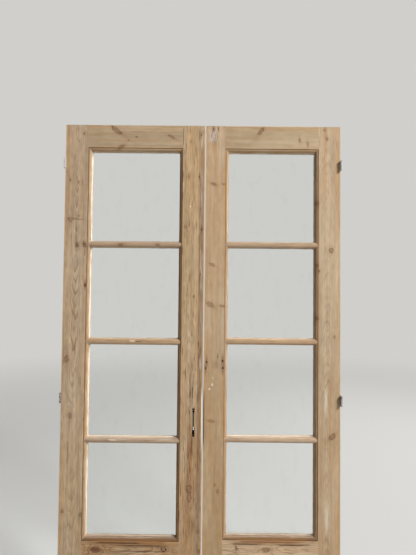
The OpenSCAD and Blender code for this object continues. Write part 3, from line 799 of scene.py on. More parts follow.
@dataclass(frozen=True)
class PineFinish(Finish):
    """Pine that was stripped of its paint, dry, bleached and rubbed. Widths are in millimetres."""

    effects: Effects
    halo: Triple = srgb(150, 106, 68)
    core: Triple = srgb(112, 76, 50)
    rim: Triple = srgb(66, 43, 29)
    rust: Triple = srgb(112, 78, 54)
    # Near black for the nail holes: painted shade inside holes that the shape does not have.
    hole: Triple = srgb(20, 15, 12)
    # Dark brown in the quirks: painted shade, with some old dirt.
    grime_and_shade: Triple = srgb(84, 60, 40)
    # Old stain on the mouldings, which also stands in for shade on those that face away from the lamp.
    stain: Triple = srgb(126, 95, 66)
    # Pale paint on the reveals, which also stands in for a highlight on those that face the lamp.
    paint: Triple = srgb(226, 212, 192)
    worn: Triple = srgb(218, 194, 162)
    warm: Triple = srgb(190, 148, 104)
    bleached: Triple = srgb(196, 178, 153)
    amber: Triple = srgb(184, 140, 92)
    dash: Triple = srgb(112, 76, 46)
    dust: Triple = srgb(190, 182, 170)
    late_tint: Triple = (1.04, 0.87, 0.7)
    late_shade: float = 0.5
    halo_share: float = 0.5
    core_share: float = 0.75
    rim_share: float = 0.8
    rust_share: float = 0.62
    pale_share: float = 0.45
    worn_share: float = 0.5
    dust_share: float = 0.35
    grime_and_shade_w: float = 4.0
    worn_w: float = 5.0
    fibre: Place = (0.83, 1.19)
    rough: Place = (0.56, 0.78)
    rough_worn: float = -0.08
    specular: float = 0.32
    knot_rise: float = 0.35
    hole_rise: float = -4.0
    relief_deep: float = 0.5
    relief_share: float = 0.7

    def material(self, board: Board) -> Material:
        """Makes the material of one board.

        Args:
            board: The board with its marks.

        Returns:
            The material.
        """
        made, g, shader = self.start(f"pine_{board.node}")
        space = self.board_space(g, board.grain)
        knots = self.knots(g, space, board)
        rings = g.group(self.effects.rings, board=space, heart_across=board.heart[0],
                        heart_deep=board.heart[1], lean=board.lean, lean_middle=board.lean_middle,
                        ring_width=board.ring_w, sway=board.sway, push=knots["Push"], seed=board.seed)
        colour = self.ground(g, space, board, rings)
        colour = g.lay(colour, self.halo, knots["Halo"], self.halo_share)
        colour = g.lay(colour, self.core, knots["Core"], self.core_share)
        colour = g.lay(colour, self.rim, knots["Rim"], self.rim_share)
        colour, wear = self.handling(g, space, board, colour)
        colour = self.patches(g, space, board, colour)
        colour, hole = self.nail_holes(g, space, board, colour)
        rough = g.line(wear, self.rough_worn, g.between(rings.outputs["Fibre"], *self.rough))
        height = g.line(knots["Core"], self.knot_rise, rings.outputs["Height"])
        height = g.line(hole, self.hole_rise, height)
        g.fill(shader, {"Base Color": colour, "Roughness": rough, "Specular IOR Level": self.specular,
                        "Normal": g.relief(height, self.relief_deep, self.relief_share)})
        return made

    def knots(self, g: Graph, space: Socket, board: Board) -> dict[str, Value]:
        """Lays all knots of a board over each other.

        Args:
            g: Graph of the material.
            space: Board space.
            board: The board.

        Returns:
            Core, Rim, Push and Halo.
        """
        found: dict[str, Value] = {"Core": 0.0, "Rim": 0.0, "Push": 0.0, "Halo": 0.0}
        for knot in board.knots:
            made = g.group(self.effects.knot, board=space, place=(knot.along, knot.across, 0.0),
                           size=knot.size, stretch=knot.stretch, turn=math.radians(knot.turn), dark=knot.dark,
                           ring=knot.ring, **{f"{name}_in": value for name, value in found.items()})
            found = {name: made.outputs[name] for name in found}
            space = made.outputs["Board"]
        return found

    def ground(self, g: Graph, space: Socket, board: Board, rings: Node) -> Socket:
        """The wood's own colour, before any mark.

        Args:
            g: Graph of the material.
            space: Board space.
            board: The board.
            rings: Its growth rings.

        Returns:
            The colour's socket.
        """
        along, across, _ = g.split(space)
        low, high = board.sides()
        height = along if board.grain is Grain.UPRIGHT else across
        colour = g.mix(g.step(height, *TONE_FADE), board.low_tone or board.tone, board.tone)
        off_middle = g.math("ABSOLUTE", g.less(across, (low + high) / 2))
        edge = g.step(off_middle, 0.2 * (high - low), 0.5 * (high - low))
        pale = self.effects.blotches(g, space, Weave.PALE, low=0.42, high=0.7, seed=board.seed + 3.0)
        colour = g.lay(colour, self.warm, edge, board.warmth)
        colour = g.lay(colour, self.bleached, pale, self.pale_share)
        amber = self.effects.blotches(g, space, Weave.AMBER, low=0.46, high=0.68, seed=board.seed + 12.0)
        colour = g.lay(colour, self.amber, amber, board.amber)
        colour = g.shade(colour, g.line(rings.outputs["Streak"], board.streaks, 1.01 - board.streaks / 2))
        mottle = g.spread(space, Weave.MOTTLE, (board.seed, 5.0, 2.0), 3.0)
        colour = g.shade(colour, g.line(mottle, board.mottle, 1.02 - board.mottle / 2))
        colour = g.lay(colour, self.dash, rings.outputs["Dash"], board.dashes)
        dark = g.shade(g.vector("MULTIPLY", colour, self.late_tint), self.late_shade)
        bold = self.effects.blotches(g, space, Weave.BOLD, low=0.3, high=0.62, seed=board.seed + 8.0)
        late = g.times(rings.outputs["Late Wood"], g.between(bold, 0.35, 1.0))
        figure = g.step(height, *FOOT_FADE, board.figure * board.foot_figure, board.figure)
        colour = g.lay(colour, dark, late, figure)
        return g.shade(colour, g.between(rings.outputs["Fibre"], *self.fibre))

    def handling(self, g: Graph, space: Socket, board: Board, colour: Socket) -> tuple[Socket, Value]:
        """Stain and paint on the moulding, which also paint shade and a highlight, painted shade with some
        dirt in the creases, rubbed arrises and dust.

        Args:
            g: Graph of the material.
            space: Board space.
            board: The board.
            colour: The colour so far.

        Returns:
            The new colour and the mask of the wear.
        """
        middle, half = board.moulding()
        mould = g.group(self.effects.moulding, board=space, middle=middle, half=half)
        # Stain and pale paint on the moulding, which also paint shade and a highlight.
        colour = g.lay(colour, self.stain, mould.outputs["Stain"], board.stain)
        colour = g.lay(colour, self.paint, mould.outputs["Paint"], board.paint)
        # Painted shade, with some old dirt, in the quirk beside each moulding.
        for crease in board.creases():
            mask = g.group(self.effects.grime_and_shade, board=space, crease_across=crease, reach=self.grime_and_shade_w)
            colour = g.lay(colour, self.grime_and_shade, mask.outputs["Mask"], board.grime_and_shade)
        wear: Value = 0.0
        for edge in board.arrises():
            worn = g.group(self.effects.wear, board=space, edge_across=edge, edge_deep=FRONT_DEEP,
                           reach=self.worn_w, wear_in=wear)
            wear = worn.outputs["Wear"]
        colour = g.lay(colour, self.worn, wear, self.worn_share)
        return g.mix(self.effects.dusted(g, space, self.dust_share), colour, self.dust), wear

    def patches(self, g: Graph, space: Socket, board: Board, colour: Socket) -> Socket:
        """Lays the patches over the colour.

        Args:
            g: Graph of the material.
            space: Board space.
            board: The board.
            colour: The colour so far.

        Returns:
            The new colour.
        """
        for patch in board.patches:
            made = g.group(self.effects.patch, board=space, place=(patch.along, patch.across, 0.0),
                           half_size=(*patch.half, 1.0), soft=patch.soft, ragged=patch.ragged,
                           flecks=patch.flecks)
            space = made.outputs["Board"]
            colour = g.lay(colour, patch.stain.value, made.outputs["Mask"], patch.share)
        return colour

    def nail_holes(self, g: Graph, space: Socket, board: Board, colour: Socket) -> tuple[Socket, Value]:
        """Lays the nail holes over the colour, painted near black as the shade inside them.

        Args:
            g: Graph of the material.
            space: Board space.
            board: The board.
            colour: The colour so far.

        Returns:
            The new colour and the mask of the holes.
        """
        hole: Value = 0.0
        rust: Value = 0.0
        for nail in board.nails:
            made = g.group(self.effects.nail, board=space, place=(nail.along, nail.across, 0.0),
                           size=nail.size, hole_in=hole, rust_in=rust)
            hole, rust, space = made.outputs["Hole"], made.outputs["Rust"], made.outputs["Board"]
        if board.nails:
            colour = g.lay(colour, self.rust, rust, self.rust_share)
            # The holes are painted near black: painted shade.
            colour = g.mix(hole, colour, self.hole)
        return colour, hole


@dataclass(frozen=True)
class WedgeFinish(Finish):
    """End grain of the tenon wedges, dark with age."""

    effects: Effects
    tone: Triple = srgb(146, 112, 78)
    dark: Triple = srgb(92, 64, 42)
    late_share: float = 0.7
    rough: Place = (0.66, 0.86)

    def material(self) -> Material:
        """Makes the material."""
        made, g, shader = self.start("wedge_end_grain")
        space = self.board_space(g, Grain.LYING)
        rings = g.group(self.effects.rings, board=space, heart_across=1300.0, heart_deep=60.0, lean=0.02,
                        lean_middle=0.0, ring_width=2.2, sway=14.0, push=0.0, seed=41.0)
        colour = g.lay(self.tone, self.dark, rings.outputs["Late Wood"], self.late_share)
        g.fill(shader, {"Base Color": g.shade(colour, g.between(rings.outputs["Fibre"], 0.8, 1.2)),
                        "Roughness": g.between(rings.outputs["Streak"], *self.rough),
                        "Normal": g.relief(rings.outputs["Height"], 0.4, 0.7)})
        return made


@dataclass(frozen=True)
class GlassFinish(Finish):
    """Old drawn glass: clear, a little wavy, with smears and specks of dust."""

    effects: Effects
    tint: Triple = (0.955, 0.975, 0.965)
    smear: Triple = (0.86, 0.87, 0.86)
    shadow: Triple = (0.93, 0.95, 0.94)
    smear_share: float = 0.35
    speck_share: float = 0.3
    rough: Place = (0.012, 0.132)
    bending: float = 1.5

    def material(self) -> Material:
        """Makes the material."""
        made, g, shader = self.start("old_glass")
        space = self.board_space(g, Grain.UPRIGHT)
        smear = self.effects.blotches(g, space, Weave.SMEAR, low=0.5, high=0.82, seed=2.0)
        specks = self.effects.blotches(g, space, Weave.GLASS_SPECKS, low=0.66, high=0.78, seed=9.0)
        dirt = g.plus(g.times(smear, self.smear_share), g.times(specks, self.speck_share), clamp=True)
        g.fill(shader, {"Base Color": g.mix(dirt, self.tint, self.smear),
                        "Roughness": g.between(dirt, *self.rough),
                        "IOR": self.bending, "Transmission Weight": 1.0})
        wave = g.spread(space, Weave.DRAWN_GLASS, (4.0, 1.0, 0.0), 1.0)
        g.feed(shader.inputs["Normal"], g.relief(wave, 0.35, 0.5))
        clear = g.node("BsdfTransparent")
        g.feed(clear.inputs["Color"], self.shadow)
        switch = g.node("MixShader")
        shadow_ray = g.node("LightPath").outputs["Is Shadow Ray"]
        for socket, value in zip(switch.inputs, (shadow_ray, shader.outputs[0], clear.outputs[0])):
            g.feed(socket, value)
        g.feed(made.node_tree.nodes["Material Output"].inputs["Surface"], switch.outputs[0])
        return made


@dataclass(frozen=True)
class PuttyFinish(Finish):
    """Linseed putty, hard and chalky, with fine cracks."""

    effects: Effects
    tone: Triple = srgb(176, 166, 148)
    dirty: Triple = srgb(132, 118, 98)
    crack: Triple = srgb(70, 58, 46)
    crack_share: float = 0.7
    crack_rise: float = -1.5
    rough: Place = (0.74, 0.94)

    def material(self) -> Material:
        """Makes the material."""
        made, g, shader = self.start("old_putty")
        space = self.board_space(g, Grain.UPRIGHT)
        dirt = self.effects.blotches(g, space, Weave.PUTTY_DIRT, low=0.35, high=0.75, seed=6.0)
        cells = g.node("TexVoronoi", feature="DISTANCE_TO_EDGE")
        g.fill(cells, {"Vector": g.vector("MULTIPLY", space, Weave.PUTTY_CRACKS.value), "Scale": 1.0})
        crack = g.fade(cells.outputs["Distance"], 0.01, 0.05)
        grit = g.spread(space, Weave.GRIT, (0.0, 3.0, 1.0), 4.0)
        colour = g.mix(dirt, self.tone, self.dirty)
        colour = g.shade(colour, g.between(grit, 0.75, 1.25))
        g.fill(shader, {"Base Color": g.lay(colour, self.crack, crack, self.crack_share),
                        "Roughness": g.between(grit, *self.rough),
                        "Normal": g.relief(g.line(crack, self.crack_rise, grit), 0.5, 0.7)})
        return made


@dataclass(frozen=True)
class MetalFinish(Finish):
    """Worn metal with tarnish in patches, scratches and dust."""

    effects: Effects
    name: str
    bare: Triple
    tarnish: Triple
    low: float
    high: float
    rough: float
    seed: float
    dulled: float = 0.75
    shine: float = 1.0
    dust: Triple = srgb(170, 160, 146)
    dust_share: float = 0.3
    speck_share: float = 0.5
    rough_aged: float = 0.35
    rough_scratch: float = 0.2

    def material(self) -> Material:
        """Makes the material."""
        made, g, shader = self.start(self.name)
        space = self.board_space(g, Grain.UPRIGHT)
        patina = self.effects.blotches(g, space, Weave.PATINA, low=self.low, high=self.high, seed=self.seed)
        specks = self.effects.blotches(g, space, Weave.METAL_SPECKS, low=0.6, high=0.7, seed=self.seed + 5.0)
        scratch = g.spread(space, Weave.SCRATCHES, (2.0, self.seed, 1.0), 3.0)
        aged = g.line(specks, self.speck_share, patina, clamp=True)
        colour = g.mix(aged, g.shade(self.bare, g.between(scratch, 0.8, 1.2)), self.tarnish)
        colour = g.mix(self.effects.dusted(g, space, self.dust_share), colour, self.dust)
        metallic = g.line(aged, -self.dulled * self.shine, self.shine)
        rough = g.line(aged, self.rough_aged, g.line(scratch, self.rough_scratch, self.rough))
        g.fill(shader, {"Base Color": colour, "Metallic": metallic, "Roughness": rough,
                        "Normal": g.relief(g.plus(scratch, aged), 0.08, 0.5)})
        return made


def wear_edges(node: Thing, width: float, effects: Effects) -> None:
    """Rounds the edges of a CAD node that stand out, with modifiers, which leave its mesh as it is.

    Args:
        node: The CAD node's object.
        width: Width of the rounding, in millimetres.
        effects: Holds the geometry nodes that mark the edges and even the shading.
    """
    node.modifiers.new("weld", "WELD").merge_threshold = WELD * MM
    node.modifiers.new("proud_edges", "NODES").node_group = effects.edges
    bevel = node.modifiers.new("worn_edges", "BEVEL")
    bevel.width = width * MM
    bevel.segments = 2
    bevel.limit_method = "WEIGHT"
    bevel.use_clamp_overlap = False
    bevel.loop_slide = False
    node.modifiers.new("even_shading", "NODES").node_group = effects.shading


def dress(node: Thing, finish: Material) -> None:
    """Gives a node its one material."""
    node.data.materials.clear()
    node.data.materials.append(finish)


def put(name: str, data: bpy.types.ID | bmesh.types.BMesh) -> Thing:
    """Puts a new object into the scene.

    Args:
        name: Name of the object.
        data: Its lamp or camera, or its shape, which is freed.

    Returns:
        The object.
    """
    if isinstance(data, bmesh.types.BMesh):
        shape, data = data, bpy.data.meshes.new(name)
        shape.to_mesh(data)
        shape.free()
    made = bpy.data.objects.new(name, data)
    bpy.context.scene.collection.objects.link(made)
    return made


@dataclass(frozen=True)
class BeddingBead:
    """Old putty squeezed out in front of a pane, round the edge of its sight, in millimetres."""

    side: str
    row: int
    behind_wood: float = 9.5
    reach: float = 1.9
    rise: float = 1.6
    off_glass: float = 0.04
    spacing: float = 9.0
    mean: float = 0.68
    swing: float = 0.11
    waves: tuple[Place, ...] = ((0.043, 1.0), (0.117, 2.1), (0.31, 0.0))

    def corners(self) -> tuple[list[Vector], float]:
        """The corners of the glass in sight and the depth of its front, in millimetres."""
        low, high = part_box(f"{self.side}_pane_{self.row}")
        x0, x1 = low.x / MM + self.behind_wood, high.x / MM - self.behind_wood
        z0, z1 = low.z / MM + self.behind_wood, high.z / MM - self.behind_wood
        ring = [Vector((x0, 0, z0)), Vector((x1, 0, z0)), Vector((x1, 0, z1)), Vector((x0, 0, z1))]
        return ring, low.y / MM - self.off_glass

    def uneven(self, where: float) -> float:
        """A smooth uneven share along the bead, from about 0.35 to 1."""
        seed = self.row + 3.0 * SIDES.index(self.side)
        return self.mean + self.swing * sum(math.sin(where * pace + turn * seed) for pace, turn in self.waves)

    def sections(self) -> list[list[Vector]]:
        """The three corners of the bead's section, at each step round the pane, in millimetres."""
        ring, glass = self.corners()
        centre = sum(ring, Vector()) / len(ring)
        found, walked = [], 0.0
        for i, start in enumerate(ring):
            end = ring[(i + 1) % len(ring)]
            run = end - start
            steps = max(2, round(run.length / self.spacing))
            normal = Vector((-run.z, 0, run.x)).normalized()
            if normal.dot(centre - start) < 0:
                normal = -normal
            before = (start - ring[i - 1]).normalized()
            for k in range(steps):
                point = start.lerp(end, k / steps)
                inward = normal if k else normal - before
                share = self.uneven(walked + (point - start).length)
                low = point + inward * self.reach * share
                found.append([Vector((point.x, glass, point.z)), Vector((low.x, glass, low.z)),
                              Vector((point.x, glass - self.rise * share, point.z))])
            walked += run.length
        return found

    def build(self, finish: Material) -> Thing:
        """Builds the bead as a closed ring of triangular section.

        Args:
            finish: Its material.

        Returns:
            The new object.
        """
        mesh = bmesh.new()
        rows = [[mesh.verts.new(corner * MM) for corner in section] for section in self.sections()]
        for a, b in zip(rows, rows[1:] + rows[:1]):
            for j in range(3):
                mesh.faces.new((a[j], b[j], b[(j + 1) % 3], a[(j + 1) % 3]))
        bmesh.ops.recalc_face_normals(mesh, faces=mesh.faces)
        made = put(f"{self.side}_bedding_{self.row}", mesh)
        dress(made, finish)
        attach(made, f"{self.side}_door")
        return made


@dataclass(frozen=True)
class DoorLeaf:
    """One leaf: its boards, panes, putty and wedges."""

    side: str
    boards: tuple[Board, ...]
    board_arris: float = 0.8

    def build(self, putty: Material) -> None:
        """Adds the bead of bedding putty round each pane."""
        for row in ROWS:
            log.info("built %s", BeddingBead(self.side, row).build(putty).name)

    def dress(self, pine: PineFinish, glass: Material, putty: Material, wedge: Material) -> None:
        """Gives every piece of the leaf its finish.

        Args:
            pine: Finish of the boards.
            glass: Material of the panes.
            putty: Material of the putty.
            wedge: Material of the wedges.
        """
        for board in self.boards:
            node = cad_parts[board.node]
            dress(node, pine.material(board))
            wear_edges(node, self.board_arris, pine.effects)
            log.info("dressed %s with %d knots", board.node, len(board.knots))
        for row in ROWS:
            dress(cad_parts[f"{self.side}_pane_{row}"], glass)
        dress(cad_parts[f"{self.side}_putty"], putty)
        dress(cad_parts[f"{self.side}_wedges"], wedge)
        log.info("dressed panes, putty and wedges of the %s leaf", self.side)


@dataclass(frozen=True)
class Hinges:
    """The butt hinges of one leaf."""

    side: str
    edge: float = 0.3

    def dress(self, bright: Material, brown: Material, effects: Effects) -> None:
        """Gives the hinges of the leaf their finish.

        Args:
            bright: Material of the upper hinge and the screws.
            brown: Material of the hinges below it.
            effects: What rounds and shades the edges.
        """
        for part in ("hinge_leaf", "frame_leaf", "hinge_pin"):
            for i in HINGES:
                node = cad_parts[f"{self.side}_{part}_{i}"]
                dress(node, bright if i == 1 else brown)
                wear_edges(node, self.edge, effects)
        dress(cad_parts[f"{self.side}_hinge_screws"], bright)
        log.info("dressed the hinges of the %s leaf", self.side)


@dataclass(frozen=True)
class MortiseLock:
    """The lock in the left leaf and its strike in the right one."""

    brass_nodes: tuple[str, ...] = ("lock_faceplate", "latch_bolt", "dead_bolt", "lock_screws",
                                    "strike_plate", "strike_screws")
    iron_nodes: tuple[str, ...] = ("lock_case", "lock_follower")
    edge: float = 0.3

    def dress(self, brass: Material, iron: Material, effects: Effects) -> None:
        """Gives the lock's pieces their finish.

        Args:
            brass: Material of what shows at the edge of the leaf.
            iron: Material of what is inside.
            effects: What rounds and shades the edges.
        """
        for names, finish in ((self.brass_nodes, brass), (self.iron_nodes, iron)):
            for name in names:
                dress(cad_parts[name], finish)
                wear_edges(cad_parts[name], self.edge, effects)
        log.info("dressed the lock and its strike")


@dataclass(frozen=True)
class Lamp:
    """A soft square lamp: its place and the length of its side in metres, its power in watts."""

    name: str
    place: Triple
    size: float
    power: float
    aim: Triple = (0.0, 0.0, 1.3)

    def build(self) -> None:
        """Hangs the lamp, turned to its aim."""
        data = bpy.data.lights.new(self.name, "AREA")
        data.size = self.size
        data.energy = self.power
        made = put(self.name, data)
        made.location = self.place
        made.rotation_euler = (Vector(self.aim) - Vector(self.place)).to_track_quat("-Z", "Y").to_euler()
        made.visible_glossy = False


@dataclass(frozen=True)
class Studio:
    """Pale floor and world, soft lamps and the camera, in metres."""

    floor_tone: Triple = srgb(208, 207, 204)
    floor_rough: float = 0.9
    floor_r: float = 60.0
    fade_from: float = 2.0
    fade_to: float = 9.0
    spokes: int = 96
    ambient: float = 0.07
    ambient_tone: Triple = (1.0, 0.98, 0.95)
    lamps: tuple[Lamp, ...] = (Lamp("key_lamp", (5.0, -4.2, 5.8), 2.0, 725.0),
                               Lamp("back_fill", (3.5, 3.6, 4.4), 2.5, 230.0))
    camera_place: Triple = (0.0386, -2.1306, 1.56)
    yaw: float = math.radians(-0.18)
    pitch: float = math.radians(1.75)
    roll: float = math.radians(0.588)
    focal_px: float = 417.0
    image_h_px: float = 555.0
    sensor: float = 36.0
    clip_start: float = 0.05

    def build(self) -> None:
        """Makes the floor, the world, the lamps and the camera."""
        self.floor()
        self.world()
        for lamp in self.lamps:
            lamp.build()
        self.camera()
        bpy.context.scene.view_settings.view_transform = "Standard"
        log.info("built the studio")

    def floor(self) -> None:
        """A wide round floor that fades into the pale world far off."""
        mesh = bmesh.new()
        bmesh.ops.create_circle(mesh, cap_ends=True, segments=self.spokes, radius=self.floor_r)
        floor = put("studio_floor", mesh)
        paper, g, shader = Finish().start("studio_paper")
        g.fill(shader, {"Base Color": self.floor_tone, "Roughness": self.floor_rough})
        pale = g.node("Emission")
        g.feed(pale.inputs["Color"], self.floor_tone)
        x, y, _ = g.split(g.node("TexCoord").outputs["Object"])
        share = g.step(g.length(x, y), self.fade_from, self.fade_to, 0.5, 1.0)
        self.seen_as(g, shader.outputs[0], pale.outputs[0], share, paper.node_tree.nodes["Material Output"])
        dress(floor, paper)

    def world(self) -> None:
        """Dim light from all round, and a pale world for what is seen, mirrored or seen through glass."""
        world = bpy.data.worlds.new("studio_world")
        bpy.context.scene.world = world
        world.use_nodes = True
        g = Graph(world.node_tree)
        light = world.node_tree.nodes["Background"]
        g.fill(light, {"Color": self.ambient_tone, "Strength": self.ambient})
        pale = g.node("Background")
        g.feed(pale.inputs["Color"], self.floor_tone)
        self.seen_as(g, light.outputs[0], pale.outputs[0], 1.0, world.node_tree.nodes["World Output"])

    def seen_as(self, g: Graph, lit: Socket, pale: Socket, share: Value, output: Node) -> None:
        """Shows a pale shader where the stage is seen, mirrored or seen through glass.

        Args:
            g: Graph of the material or the world.
            lit: Shader that the lamps light.
            pale: Shader that is seen.
            share: How much of the pale shader is seen.
            output: The tree's output.
        """
        path = g.node("LightPath")
        seen = g.plus(path.outputs["Is Camera Ray"], path.outputs["Is Glossy Ray"])
        seen = g.plus(seen, path.outputs["Is Transmission Ray"], clamp=True)
        switch = g.node("MixShader")
        for socket, value in zip(switch.inputs, (g.times(seen, share), lit, pale)):
            g.feed(socket, value)
        g.feed(output.inputs["Surface"], switch.outputs[0])

    def camera(self) -> None:
        """Sets the camera where the photograph was taken from."""
        level = Vector((math.cos(self.yaw), -math.sin(self.yaw), 0.0))
        ahead = Vector((math.sin(self.yaw), math.cos(self.yaw), 0.0))
        forward = ahead * math.cos(self.pitch) + Vector((0.0, 0.0, math.sin(self.pitch)))
        upright = level.cross(forward)
        right = level * math.cos(self.roll) + upright * math.sin(self.roll)
        up = upright * math.cos(self.roll) - level * math.sin(self.roll)
        data = bpy.data.cameras.new("photo_camera")
        data.sensor_width = self.sensor
        data.lens = self.sensor * self.focal_px / self.image_h_px
        data.clip_start = self.clip_start
        made = put("photo_camera", data)
        turn = Matrix((right, up, -forward)).transposed().to_4x4()
        made.matrix_world = Matrix.Translation(self.camera_place) @ turn
        bpy.context.scene.camera = made


def glazing_bars(side: str, knots: Mapping[int, tuple[Knot, ...]],
                 patches: Mapping[int, tuple[Patch, ...]]) -> list[Board]:
    """The three glazing bars of a leaf.

    Args:
        side: Which leaf.
        knots: Knots of a bar, by its number from the top.
        patches: Patches on a bar, by its number from the top.

    Returns:
        The bars as boards.
    """
    tones = (srgb(186, 161, 136), srgb(190, 160, 128), srgb(192, 168, 144))
    bars = []
    for number, tone in enumerate(tones, 1):
        node = f"{side}_bar_{number}"
        low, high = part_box(node)
        middle = (low.z + high.z) / 2 / MM
        bars.append(Board(
            node, Grain.LYING, Moulded.BOTH, tone, heart=(middle - 30.0 * number, 50.0), lean=0.02,
            seed=20.0 + 4.0 * number + 15.0 * SIDES.index(side), lean_middle=0.0, ring_w=3.0, sway=26.0,
            warmth=0.1, dashes=0.3, knots=knots.get(number, ()), patches=patches.get(number, ())))
    return bars


